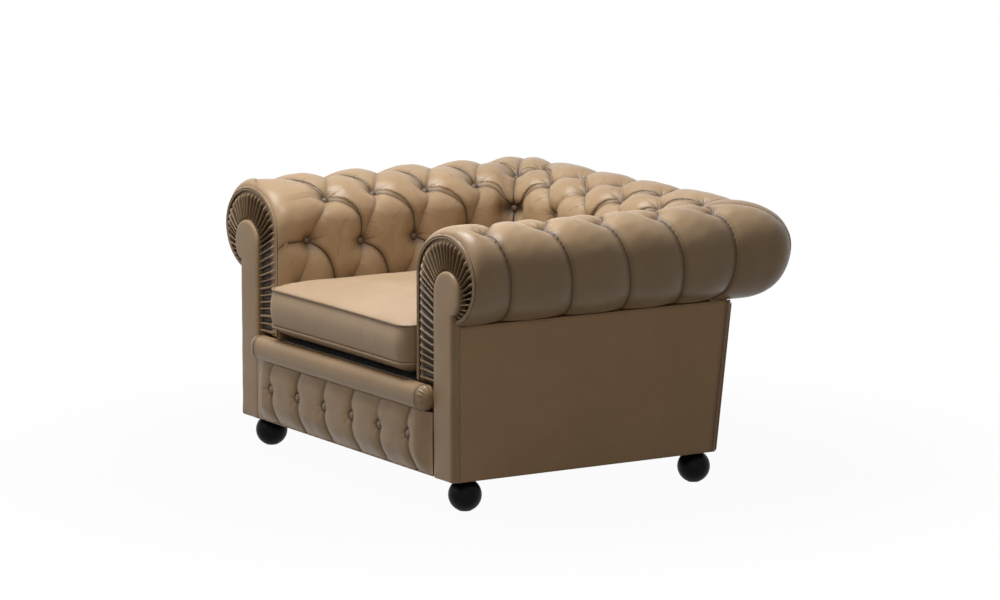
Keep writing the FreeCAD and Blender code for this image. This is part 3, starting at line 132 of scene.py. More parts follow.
class Nodes:
    """A material under construction, with one Principled shader."""

    def __init__(self, name: str) -> None:
        """Start an empty node tree with a shader and an output."""
        self.material = bpy.data.materials.new(name)
        self.material.use_nodes = True
        self.tree = self.material.node_tree
        self.tree.nodes.clear()
        self.shader = self.tree.nodes.new("ShaderNodeBsdfPrincipled")
        self.output = self.tree.nodes.new("ShaderNodeOutputMaterial")
        self.tree.links.new(self.shader.outputs[0], self.output.inputs["Surface"])

    def make(self, kind: str, settings: dict | None = None, inputs: dict | None = None,
             output: str | int = 0) -> Signal:
        """Add a node.

        Args:
            kind: The node's type.
            settings: Properties, which are set first.
            inputs: Values or signals of the node's sockets.
            output: The output socket to return.

        Returns:
            The chosen output as a signal.
        """
        node = self.tree.nodes.new(kind)
        for key, value in (settings or {}).items():
            setattr(node, key, value)
        for key, value in (inputs or {}).items():
            self.join(value, node.inputs[key])
        return Signal(self, node.outputs[output])

    def join(self, value: "Signal | float | tuple", socket: bpy.types.NodeSocket) -> None:
        """Link a signal to a socket, or write a plain value into it."""
        if isinstance(value, Signal):
            self.tree.links.new(value.socket, socket)
        elif isinstance(value, tuple) and len(value) == 3 and socket.type == "RGBA":
            socket.default_value = (*value, 1.0)
        else:
            socket.default_value = value

    def math(self, operation: str, *values: "Signal | float") -> Signal:
        """A Math node on up to three values."""
        return self.make("ShaderNodeMath", {"operation": operation}, dict(enumerate(values)))

    def place(self) -> Signal:
        """The point's place in the piece's own frame."""
        return self.make("ShaderNodeTexCoord", output="Object")

    def stretched(self, scale: Colour, turn: Colour = (0.0, 0.0, 0.0)) -> Signal:
        """That place, scaled and turned by a Mapping node."""
        return self.make("ShaderNodeMapping", {}, {
            "Vector": self.place(), "Scale": scale, "Rotation": turn}, "Vector")

    def parts(self, vector: Signal) -> tuple[Signal, Signal, Signal]:
        """The three parts of a vector."""
        split = self.make("ShaderNodeSeparateXYZ", {}, {"Vector": vector})
        return tuple(Signal(self, output) for output in split.socket.node.outputs)

    def attribute(self, name: str) -> tuple[Signal, Signal, Signal]:
        """The three parts of a vector that the mesh carries."""
        return self.parts(self.make(
            "ShaderNodeAttribute", {"attribute_name": name}, {}, "Vector"))

    def noise(self, vector: Signal, scale: float, detail: float = 2.0,
              roughness: float = 0.5) -> Signal:
        """Smooth noise from 0 to 1."""
        return self.make("ShaderNodeTexNoise", {}, {
            "Vector": vector, "Scale": scale, "Detail": detail, "Roughness": roughness}, "Fac")

    def cells(self, vector: Signal, scale: float, feature: str = "F1") -> Signal:
        """Distance in a cell pattern."""
        return self.make("ShaderNodeTexVoronoi", {"feature": feature}, {
            "Vector": vector, "Scale": scale}, "Distance")

    def blend(self, share: Signal | float, first: "Signal | Colour",
              second: "Signal | Colour") -> Signal:
        """A colour between two colours."""
        node = self.tree.nodes.new("ShaderNodeMix")
        node.data_type = "RGBA"
        for value, index in ((share, 0), (first, 6), (second, 7)):
            self.join(value, node.inputs[index])
        return Signal(self, node.outputs[2])

    def relief(self, height: Signal, strength: float = 1.0) -> None:
        """Feed the shader's normal with a height in metres."""
        self.feed("Normal", self.make("ShaderNodeBump", {}, {
            "Height": height, "Strength": strength, "Distance": 1.0}, "Normal"))

    def feed(self, name: str, value: "Signal | float | tuple") -> None:
        """Set one socket of the shader."""
        self.join(value, self.shader.inputs[name])


@dataclass(frozen=True)
class Leather:
    """Smooth semi-aniline hide: satin and faintly mottled, with painted shade in its folds and
    round its buttons.
    """

    name: str = "hide"
    pale: Colour = (0.385, 0.255, 0.143)
    deep: Colour = (0.308, 0.198, 0.106)
    # Near black for painted shade in the folds and button hollows; the three shares below set how
    # much of it each mask paints.
    painted_shade: Colour = (0.022, 0.012, 0.006)
    roughness: float = 0.35
    grain: float = 0.00006
    valley_shade_share: float = 0.42
    gap_shade_share: float = 0.90
    hollow_shade_share: float = 0.96

    def build(self) -> bpy.types.Material:
        """The material. The mesh may carry fold (signed distance to the nearest pleat, its
        strength, and how much painted shade the leather takes there) and spot (offset from the
        nearest button), with lengths in metres.
        """
        nodes = Nodes(self.name)
        place = nodes.place()
        clouds = nodes.noise(place, 7.0, 3.0, 0.55)
        patches = nodes.noise(place, 34.0, 4.0, 0.6)
        pores = nodes.cells(place, 620.0)
        pebbles = nodes.cells(place, 210.0, "SMOOTH_F1")
        distance, strength, shade = nodes.attribute("fold")
        away = abs(distance)
        line = (1.0 - away.step(0.0005, 0.0024)) * strength
        valley = (1.0 - away.step(0.001, 0.015)) * strength
        across, along, _ = nodes.attribute("spot")
        radius = nodes.math("SQRT", across * across + along * along)
        angle = nodes.math("ARCTAN2", along, across)
        gathers = radius.band(0.011, 0.020, 0.052)
        rays = (angle * 9.0 + patches * 7.0).sine() * gathers
        tone = (clouds * 0.75 + patches * 0.25).step(0.20, 0.90)
        colour = nodes.blend(tone, self.deep, self.pale)
        # Painted shade: the fold valleys, the dark gap along each fold and the hollows round the
        # buttons are blended towards near black.
        colour = nodes.blend(valley * self.valley_shade_share, colour, self.painted_shade)
        colour = nodes.blend(line * self.gap_shade_share, colour, self.painted_shade)
        colour = nodes.blend(shade * self.hollow_shade_share, colour, self.painted_shade)
        nodes.feed("Base Color", colour)
        nodes.feed("Roughness", self.roughness + valley * 0.12 + (patches - 0.5) * 0.16)
        lip = distance.band(0.0008, 0.0030, 0.0075) * strength
        second = distance.band(0.0090, 0.0108, 0.0130) * strength
        height = (pores * -self.grain + pebbles * (-2.2 * self.grain) + lip * 0.00050
                  - second * 0.00022 + rays * 0.00034 + clouds * 0.0009)
        nodes.relief(height)
        nodes.feed("Specular IOR Level", 0.25)
        return nodes.material


@dataclass(frozen=True)
class Lacquer:
    """Satin black lacquer of the feet over turned wood."""

    name: str = "foot_lacquer"
    colour: Colour = (0.004, 0.0037, 0.0037)
    scuffed: Colour = (0.014, 0.012, 0.011)

    def build(self) -> bpy.types.Material:
        """The material: near black, with faint lathe rings and scuffs low down."""
        nodes = Nodes(self.name)
        rings = nodes.noise(nodes.stretched((2.0, 2.0, 240.0)), 3.0, 2.0)
        scuffs = nodes.noise(nodes.place(), 90.0, 5.0, 0.7)
        _, _, height = nodes.parts(nodes.place())
        low = 1.0 - height.step(0.002, 0.022)
        worn = low * scuffs.step(0.5, 0.8)
        nodes.feed("Base Color", nodes.blend(worn, self.colour, self.scuffed))
        nodes.feed("Roughness", 0.33 + scuffs * 0.12 + low * 0.15)
        nodes.relief(rings * 0.00005 + scuffs * 0.00004)
        nodes.feed("Specular IOR Level", 0.08)
        return nodes.material


@dataclass(frozen=True)
class Timber:
    """Sawn beech of the hidden frame, with its grain along one axis."""

    name: str = "frame_timber"
    pale: Colour = (0.52, 0.34, 0.19)
    dark: Colour = (0.34, 0.20, 0.10)
    along: Colour = (3.0, 60.0, 60.0)

    def build(self) -> bpy.types.Material:
        """The material: stretched noise for grain, finer noise for saw marks."""
        nodes = Nodes(self.name)
        grain = nodes.noise(nodes.stretched(self.along), 1.0, 5.0, 0.65)
        pores = nodes.noise(nodes.stretched(self.along), 9.0, 3.0, 0.6)
        nodes.feed("Base Color", nodes.blend((grain * 0.7 + pores * 0.3).step(0.3, 0.7),
                                             self.dark, self.pale))
        nodes.feed("Roughness", 0.62 + pores * 0.2)
        nodes.relief(pores * 0.0003 + grain * 0.0002)
        return nodes.material


@dataclass(frozen=True)
class Steel:
    """Oiled spring steel and zinc hardware."""

    name: str = "spring_steel"
    colour: Colour = (0.34, 0.34, 0.35)
    stain: Colour = (0.16, 0.12, 0.09)

    def build(self) -> bpy.types.Material:
        """The material: brushed metal with a little tarnish."""
        nodes = Nodes(self.name)
        tarnish = nodes.noise(nodes.place(), 55.0, 4.0, 0.6)
        nodes.feed("Base Color", nodes.blend(tarnish.step(0.5, 0.8), self.colour, self.stain))
        nodes.feed("Metallic", 1.0)
        nodes.feed("Roughness", 0.3 + tarnish * 0.25)
        nodes.relief(tarnish * 0.00005)
        return nodes.material


class Weave(Enum):
    """Kinds of hidden cloth: threads per metre and how deep they stand."""

    JUTE = (330.0, 0.0005)
    CANVAS = (900.0, 0.00018)
    FELT = (60.0, 0.0012)


@dataclass(frozen=True)
class Cloth:
    """A woven or felted lining."""

    name: str
    weave: Weave
    pale: Colour
    dark: Colour

    def build(self) -> bpy.types.Material:
        """The material: two crossed waves for threads, or plain noise for felt."""
        nodes = Nodes(self.name)
        count, deep = self.weave.value
        x, y, z = nodes.parts(nodes.place())
        fuzz = nodes.noise(nodes.place(), count * 0.6, 4.0, 0.6)
        if self.weave is Weave.FELT:
            threads = fuzz
        else:
            warp = (x * (count * math.tau) + z * (count * math.tau * 0.5)).sine()
            weft = (y * (count * math.tau) + z * (count * math.tau * 0.5)).sine()
            threads = (warp * weft) * 0.5 + 0.5
        tone = threads * 0.6 + fuzz * 0.4
        nodes.feed("Base Color", nodes.blend(tone.step(0.2, 0.8), self.dark, self.pale))
        nodes.feed("Roughness", 0.85 + fuzz * 0.1)
        nodes.relief(threads * deep)
        return nodes.material


@dataclass(frozen=True)
class Finishes:
    """Every material of the chair, made once."""

    hide: bpy.types.Material
    cushion_hide: bpy.types.Material
    panel_hide: bpy.types.Material
    cord_hide: bpy.types.Material
    button_hide: bpy.types.Material
    thread: bpy.types.Material
    lacquer: bpy.types.Material
    timber: bpy.types.Material
    upright_timber: bpy.types.Material
    steel: bpy.types.Material
    jute: bpy.types.Material
    canvas: bpy.types.Material
    black: bpy.types.Material
    wadding: bpy.types.Material

    @classmethod
    def made(cls) -> "Finishes":
        """Build the materials."""
        return cls(
            hide=Leather().build(),
            cushion_hide=Leather(name="cushion_hide", pale=(0.420, 0.292, 0.182),
                                 deep=(0.366, 0.250, 0.152), roughness=0.45).build(),
            # A lighter copy of the hide for the outer sides and back, which get little lamp light:
            # painted light.
            panel_hide=Leather(name="panel_hide", pale=(0.470, 0.298, 0.158),
                               deep=(0.405, 0.252, 0.132), roughness=0.42).build(),
            cord_hide=Leather(name="cord_hide", pale=(0.345, 0.232, 0.136),
                              deep=(0.280, 0.185, 0.105), roughness=0.32).build(),
            # A darker copy of the hide for the buttons, as painted shade for their hollows.
            button_hide=Leather(name="button_hide", pale=(0.130, 0.082, 0.046),
                                deep=(0.100, 0.062, 0.035), roughness=0.36).build(),
            thread=Cloth("waxed_thread", Weave.CANVAS, (0.30, 0.23, 0.16),
                         (0.17, 0.12, 0.08)).build(),
            lacquer=Lacquer().build(),
            timber=Timber().build(),
            upright_timber=Timber(name="upright_timber", along=(60.0, 60.0, 3.0)).build(),
            steel=Steel().build(),
            jute=Cloth("jute", Weave.JUTE, (0.42, 0.31, 0.18), (0.22, 0.15, 0.08)).build(),
            canvas=Cloth("canvas", Weave.CANVAS, (0.50, 0.44, 0.34), (0.36, 0.30, 0.22)).build(),
            black=Cloth("black_cloth", Weave.CANVAS, (0.030, 0.030, 0.030),
                        (0.012, 0.012, 0.012)).build(),
            wadding=Cloth("wadding", Weave.FELT, (0.66, 0.63, 0.56), (0.48, 0.45, 0.38)).build(),
        )


# Mesh building


@dataclass
class Form:
    """Points and faces of one form, with values per point for its material."""

    points: np.ndarray
    quads: np.ndarray
    triangles: np.ndarray = field(default_factory=lambda: np.zeros((0, 3), np.int64))
    values: dict[str, np.ndarray] = field(default_factory=dict)

    def mirrored(self, side: Side) -> "Form":
        """The form itself for the left side, or its mirror image for the right."""
        if side is Side.LEFT:
            return self
        return Form(self.points * (-1.0, 1.0, 1.0), self.quads, self.triangles, self.values)

    def volume(self) -> float:
        """The signed volume inside the faces: the sum of tetrahedra to the origin."""
        corners = np.concatenate([self.quads[:, (0, 1, 2)], self.quads[:, (0, 2, 3)],
                                  self.triangles])
        first, second, third = (self.points[corners[:, k]] for k in range(3))
        return float((first * np.cross(second, third)).sum() / 6.0)


def joined(forms: list[Form]) -> Form:
    """Several forms as one; values that a form lacks are zero."""
    starts = np.cumsum([0] + [len(form.points) for form in forms])
    names = {name for form in forms for name in form.values}
    values = {
        name: np.concatenate([
            form.values.get(name, np.zeros((len(form.points), 3))) for form in forms])
        for name in names
    }
    return Form(
        np.concatenate([form.points for form in forms]),
        np.concatenate([form.quads + start for form, start in zip(forms, starts)]),
        np.concatenate([form.triangles + start for form, start in zip(forms, starts)]),
        values,
    )


def grid_quads(rows: int, columns: int, around: bool = False, along: bool = False) -> np.ndarray:
    """Faces of a grid of points stored row by row.

    Args:
        rows: Number of rows.
        columns: Number of columns.
        around: Whether the last column joins the first.
        along: Whether the last row joins the first.

    Returns:
        One row of four indices for each face.
    """
    i, j = np.meshgrid(np.arange(rows - (not along)), np.arange(columns - (not around)),
                       indexing="ij")
    i, j = i.ravel(), j.ravel()
    down, right = (i + 1) % rows, (j + 1) % columns
    return np.stack([i * columns + j, i * columns + right,
                     down * columns + right, down * columns + j], axis=1)


def fan(ring: np.ndarray, tip: int) -> np.ndarray:
    """Triangles from a closed ring of points to one tip."""
    return np.stack([ring, np.roll(ring, -1), np.full(len(ring), tip)], axis=1)


def capped(rings: np.ndarray, tips: np.ndarray) -> Form:
    """A closed form from rings of points, with a tip past the first ring and past the last."""
    rows, sides = rings.shape[:2]
    count = rows * sides
    caps = np.concatenate([fan(np.arange(sides)[::-1], count),
                           fan(np.arange(count - sides, count), count + 1)])
    return Form(np.concatenate([rings.reshape(-1, 3), tips]),
                grid_quads(rows, sides, around=True), caps)


def slab(face: np.ndarray, back: np.ndarray) -> Form:
    """A closed sheet: a front grid, a back grid of as many points, and walls between their rims."""
    columns, rows = face.shape[:2]
    count = columns * rows
    every = np.arange(count).reshape(columns, rows)
    rim = np.concatenate([every[:, 0], every[-1, 1:], every[::-1, -1][1:],
                          every[0, ::-1][1:-1]])
    after = np.roll(rim, -1)
    wall = np.stack([rim + count, after + count, after, rim], axis=1)
    grid = grid_quads(columns, rows)
    return Form(np.concatenate([face.reshape(-1, 3), back.reshape(-1, 3)]),
                np.concatenate([grid, grid[:, ::-1] + count, wall]))


def edge_drop(distance: np.ndarray, radius: float) -> np.ndarray:
    """How far a rounded edge falls: a quarter circle over the radius next to the edge."""
    left = 1.0 - np.clip(distance / radius, 0.0, 1.0)
    return radius * (1.0 - np.sqrt(np.clip(1.0 - left ** 2, 0.0, 1.0)))


def smooth(values: np.ndarray, low: float, high: float) -> np.ndarray:
    """A smooth step from 0 at low to 1 at high: 3t squared less 2t cubed."""
    share = np.clip((values - low) / (high - low), 0.0, 1.0)
    return share * share * (3.0 - 2.0 * share)


def unit(vectors: np.ndarray) -> np.ndarray:
    """Vectors of length 1."""
    return vectors / np.maximum(np.linalg.norm(vectors, axis=-1, keepdims=True), 1e-12)


def ripple(points: np.ndarray, wavelength: float, seed: int, waves: int = 7) -> np.ndarray:
    """Gentle unevenness from about -1 to 1: the mean of sine waves in random directions."""
    rng = np.random.default_rng(seed)
    ways = unit(rng.normal(size=(waves, 3))) * math.tau / wavelength
    ways = ways * rng.uniform(0.6, 1.5, size=(waves, 1))
    shift = rng.uniform(0.0, math.tau, waves)
    return np.sin(points @ ways.T + shift).mean(axis=-1) * 2.0


def piece(name: str, form: Form, material: bpy.types.Material, body: str,
          replaces: tuple[str, ...] = ()) -> bpy.types.Object:
    """Make a finished mesh object that rides on a body.

    Args:
        name: The piece's name.
        form: Its closed form; it is turned outward if its volume comes out negative.
        material: Its finish.
        body: The body that it rides on.
        replaces: The frame's nodes that it stands for.

    Returns:
        The object.
    """
    if form.volume() < 0.0:
        form = Form(form.points, form.quads[:, ::-1], form.triangles[:, ::-1], form.values)
    mesh = bpy.data.meshes.new(name)
    corners = np.concatenate([form.quads.ravel(), form.triangles.ravel()]).astype(np.int32)
    sizes = np.concatenate([np.full(len(form.quads), 4), np.full(len(form.triangles), 3)])
    starts = np.concatenate([[0], np.cumsum(sizes)[:-1]]).astype(np.int32)
    mesh.vertices.add(len(form.points))
    mesh.vertices.foreach_set("co", form.points.astype(np.float32).ravel())
    mesh.loops.add(len(corners))
    mesh.loops.foreach_set("vertex_index", corners)
    mesh.polygons.add(len(sizes))
    mesh.polygons.foreach_set("loop_start", starts)
    mesh.polygons.foreach_set("use_smooth", np.ones(len(sizes), bool))
    for key, values in form.values.items():
        attribute = mesh.attributes.new(key, "FLOAT_VECTOR", "POINT")
        attribute.data.foreach_set("vector", values.astype(np.float32).ravel())
    mesh.update(calc_edges=True)
    mesh.validate()
    mesh.materials.append(material)
    made = bpy.data.objects.new(name, mesh)
    bpy.context.scene.collection.objects.link(made)
    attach(made, body)
    if replaces:
        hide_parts(*replaces)
    log.info("%s: %d points, %d faces", name, len(form.points), len(sizes))
    return made


def tube(path: np.ndarray, radius: float, plane: Colour, closed: bool = False,
         sides: int = 12) -> Form:
    """A cord along a flat path.

    A point of the surface is the path's point plus the radius times the cosine of an angle
    along the path's normal in its plane, and the sine along the plane's own normal.

    Args:
        path: Points along the middle.
        radius: The cord's radius.
        plane: The normal of the plane that the path lies in.
        closed: Whether the path comes back to its start.
        sides: Points round the cord.

    Returns:
        The closed form, with rounded ends where the path is open.
    """
    if closed:
        way = unit(np.roll(path, -1, axis=0) - np.roll(path, 1, axis=0))
    else:
        way = unit(np.gradient(path, axis=0))
    upright = np.broadcast_to(unit(np.array(plane)), way.shape)
    sideways = unit(np.cross(upright, way))
    angle = np.linspace(0.0, math.tau, sides, endpoint=False)
    ring = (np.cos(angle)[None, :, None] * sideways[:, None]
            + np.sin(angle)[None, :, None] * upright[:, None])
    reach = np.full(len(path), radius)
    middle = path.copy()
    if not closed:
        reach[[0, -1]] = radius * 0.55
        middle[0] -= way[0] * radius * 0.45
        middle[-1] += way[-1] * radius * 0.45
    rings = middle[:, None] + ring * reach[:, None, None]
    if closed:
        return Form(rings.reshape(-1, 3), grid_quads(len(path), sides, around=True, along=True))
    tips = np.stack([middle[0] - way[0] * radius * 0.15, middle[-1] + way[-1] * radius * 0.15])
    return capped(rings, tips)


def resampled(path: np.ndarray, count: int) -> np.ndarray:
    """The same path with a number of evenly spaced points."""
    steps = np.linalg.norm(np.diff(path, axis=0), axis=1)
    along = np.concatenate([[0.0], np.cumsum(steps)])
    at = np.linspace(0.0, along[-1], count)
    return np.stack([np.interp(at, along, path[:, k]) for k in range(3)], axis=1)


def stitches(places: np.ndarray, ways: np.ndarray, outward: np.ndarray, length: float = 0.0038,
             thick: float = 0.0005) -> Form:
    """Short threads that lie on a surface: each an arched bar of a few faces.

    A cross section is a diamond; the bar's middle stands proud and its ends dip in.
    """
    along = np.array([-0.5, -0.25, 0.25, 0.5]) * length
    rise = np.array([-0.6, 0.7, 0.7, -0.6]) * thick
    size = np.array([0.45, 1.0, 1.0, 0.45]) * thick
    angle = np.linspace(0.0, math.tau, 4, endpoint=False)
    sideways = unit(np.cross(outward, ways))
    ring = (np.cos(angle)[None, None, :, None] * sideways[:, None, None]
            + np.sin(angle)[None, None, :, None] * outward[:, None, None])
    spine = (places[:, None] + ways[:, None] * along[None, :, None]
             + outward[:, None] * rise[None, :, None])
    points = spine[:, :, None] + ring * size[None, :, None, None]
    one = grid_quads(4, 4, around=True)
    ends = np.array([[3, 2, 1, 0], [12, 13, 14, 15]])
    starts = np.arange(len(places)) * 16
    quads = (np.concatenate([one, ends])[None] + starts[:, None, None]).reshape(-1, 4)
    return Form(points.reshape(-1, 3), quads)


# The rolls of the arms and the back


@dataclass(frozen=True)
class Outline:
    """Outline of a roll: a wall, three quarter ellipses over and round it, and a lower lip.

    turn counts along it: 0 to 1 up the wall, 1 to 2 in to the crown, 2 to 3 out to the widest
    line, 3 to 4 under the roll, 4 to 5 back along the lip.
    """

    setback: float
    outer: float
    height: float
    rise: float
    drop: float
    foot: float = 0.270
    lip: float = 0.008

    def at(self, turn: np.ndarray, crown: np.ndarray | float) -> tuple[np.ndarray, np.ndarray]:
        """Distance outwards from the wall's plane, and height, at each turn."""
        quarter = math.pi / 2.0
        wall = np.clip(turn, 0.0, 1.0)
        first = np.clip(turn - 1.0, 0.0, 1.0) * quarter
        second = np.clip(turn - 2.0, 0.0, 1.0) * quarter
        third = np.clip(turn - 3.0, 0.0, 1.0) * quarter
        last = np.clip(turn - 4.0, 0.0, 1.0)
        across = (self.setback + crown * (1.0 - np.cos(first)) + self.outer * np.sin(second)
                  - self.outer * (1.0 - np.cos(third)) - self.lip * last)
        height = (self.foot + (self.height - self.foot) * wall + self.rise * np.sin(first)
                  - self.rise * (1.0 - np.cos(second)) - self.drop * np.sin(third))
        return across, height


# Distance round the roll at each whole turn.
ROUND_ROLL = np.array([0.0, 0.325, 0.538, 0.715, 0.917, 0.925])
FACING = Outline(0.006, 0.133, 0.570, 0.108, 0.112)
FACING_CROWN = 0.138


@dataclass(frozen=True)
class RollPath:
    """The surface of both arms and the back, before any buttoning, at +X.

    A point has a place along the path and a turn round the roll. The place is negative on the
    arm, where it is y less the corner zone's start; it runs through the corner zone, whose
    middle is the mitre; and it goes on along the back to the middle of the chair.
    """

    face_x: float = 0.346
    face_y: float = 0.245
    crown_arm: float = 0.162
    crown_back: float = 0.135
    roll: Outline = Outline(0.0, 0.120, 0.595, 0.105, 0.137)
    facing: Outline = FACING
    facing_crown: float = FACING_CROWN
    zone_y: float = 0.160
    zone_x: float = 0.260
    zone: float = 0.360
    front: float = -0.457
    full: float = -0.415

    @property
    def start(self) -> float:
        """The place of the front edge."""
        return self.front - self.zone_y

    @property
    def mitre(self) -> float:
        """The place of the mitre in the rear corner."""
        return self.zone / 2.0

    @property
    def end(self) -> float:
        """The place of the middle of the back."""
        return self.zone + self.zone_x

    def bend(self, turn: np.ndarray) -> np.ndarray:
        """Radius of the corner in plan: small inside, full round the outside."""
        return (0.022 + 0.030 * smooth(turn, 1.0, 2.0) + 0.048 * smooth(turn, 2.0, 3.0)
                - 0.070 * smooth(turn, 3.0, 4.0))

    def points(self, place: np.ndarray, turn: np.ndarray, inset: float | np.ndarray = 0.0
               ) -> np.ndarray:
        """Points of the surface, in space.

        Args:
            place: Places along the path.
            turn: Turns round the roll.
            inset: How far the outline is shrunk all round.

        Returns:
            The points.
        """
        y = self.zone_y + np.minimum(place, 0.0)
        share = np.clip((self.full - y) / (self.full - self.front), 0.0, 1.0)
        share = 1.0 - np.sqrt(1.0 - share * share)
        arm_u, arm_z = shrunk(self.roll, turn, self.crown_arm, inset)
        face_u, face_z = shrunk(self.facing, turn, self.facing_crown, inset)
        back_u, _ = shrunk(self.roll, turn, self.crown_back, inset)
        height = arm_z + (face_z - arm_z) * share
        line_x = self.face_x + arm_u + (face_u - arm_u) * share
        line_y = self.face_y + back_u
        radius = self.bend(turn)
        half_arc = radius * math.pi / 4.0
        from_arm = np.clip(place / self.mitre, 0.0, 1.0) * (
            line_y - radius - self.zone_y + half_arc)
        from_back = np.clip((self.zone - place) / self.mitre, 0.0, 1.0) * (
            line_x - radius - self.zone_x + half_arc)
        arm_run, back_run = line_y - radius - self.zone_y, line_x - radius - self.zone_x
        arm_angle = np.clip(from_arm - arm_run, 0.0, None) / radius
        back_angle = np.clip(from_back - back_run, 0.0, None) / radius
        on_arm = place <= self.mitre
        arm_x = line_x - radius * (1.0 - np.cos(arm_angle))
        arm_y = y + np.minimum(from_arm, arm_run) + radius * np.sin(arm_angle)
        back_x = (self.zone_x - np.clip(place - self.zone, 0.0, None)
                  + np.minimum(from_back, back_run) + radius * np.sin(back_angle))
        back_y = line_y - radius * (1.0 - np.cos(back_angle))
        x = np.where(on_arm, arm_x, back_x)
        return np.stack([x, np.where(on_arm, arm_y, back_y), height], axis=-1)

    def place_of_y(self, y: float, turn: float) -> float:
        """The place at which the arm's side of the path has a given y."""
        if y <= self.zone_y:
            return y - self.zone_y
        across, _ = self.roll.at(np.array(turn), self.crown_back)
        radius = float(self.bend(np.array(turn)))
        length = self.face_y + float(across) - radius - self.zone_y + radius * math.pi / 4.0
        return (y - self.zone_y) / length * self.mitre

    def place_of_x(self, x: float, turn: float) -> float:
        """The place at which the back's side of the path has a given x."""
        if x <= self.zone_x:
            return self.zone + self.zone_x - x
        across, _ = self.roll.at(np.array(turn), self.crown_arm)
        radius = float(self.bend(np.array(turn)))
        length = self.face_x + float(across) - radius - self.zone_x + radius * math.pi / 4.0
        return self.zone - (x - self.zone_x) / length * self.mitre

    def turns(self, fine: float, coarse: float, coarse_below: float) -> np.ndarray:
        """Turns of the grid's rows: evenly spaced along the outline, wider where it is hidden."""
        turn = np.linspace(0.0, 5.0, 5001)
        across, height = self.roll.at(turn, self.crown_arm)
        along = np.concatenate([[0.0], np.cumsum(np.hypot(np.diff(across), np.diff(height)))])
        low = np.arange(0.0, coarse_below - self.roll.foot, coarse)
        high = np.linspace(coarse_below - self.roll.foot, along[-1],
                           int((along[-1] - coarse_below + self.roll.foot) / fine))
        return np.interp(np.concatenate([low, high]), along, turn)


def shrunk(outline: Outline, turn: np.ndarray, crown: float, inset: float | np.ndarray
           ) -> tuple[np.ndarray, np.ndarray]:
    """The outline moved inwards by a distance, as its distance outwards and its height."""
    across, height = outline.at(turn, crown)
    centre = outline.setback + crown
    inner = np.where(across < centre, 1.0 - inset / crown, 1.0 - inset / outline.outer)
    upper = np.where(height > outline.height, 1.0 - inset / outline.rise,
                     1.0 - inset / outline.drop)
    upper = np.where(turn < 1.0, 1.0, upper)
    return centre + (across - centre) * inner, outline.height + (height - outline.height) * upper


@dataclass(frozen=True)
class Pleat:
    """A fold from one point of the surface to another, each a place and a turn."""

    start: tuple[float, float]
    end: tuple[float, float]
    deep_start: float = 1.0
    deep_end: float = 1.0
    bow: float = 0.0
    reach: float = 0.062
    soft: bool = False
    sway: float = 0.0

    def line(self, steps: int = 20) -> tuple[np.ndarray, np.ndarray, np.ndarray]:
        """Place, turn and share along the fold: straight, plus a bow upwards and a sway along."""
        share = np.linspace(0.0, 1.0, steps)
        arch = np.sin(math.pi * share)
        place = self.start[0] + (self.end[0] - self.start[0]) * share
        turn = self.start[1] + (self.end[1] - self.start[1]) * share
        return place + self.sway * arch, turn + self.bow * arch, share


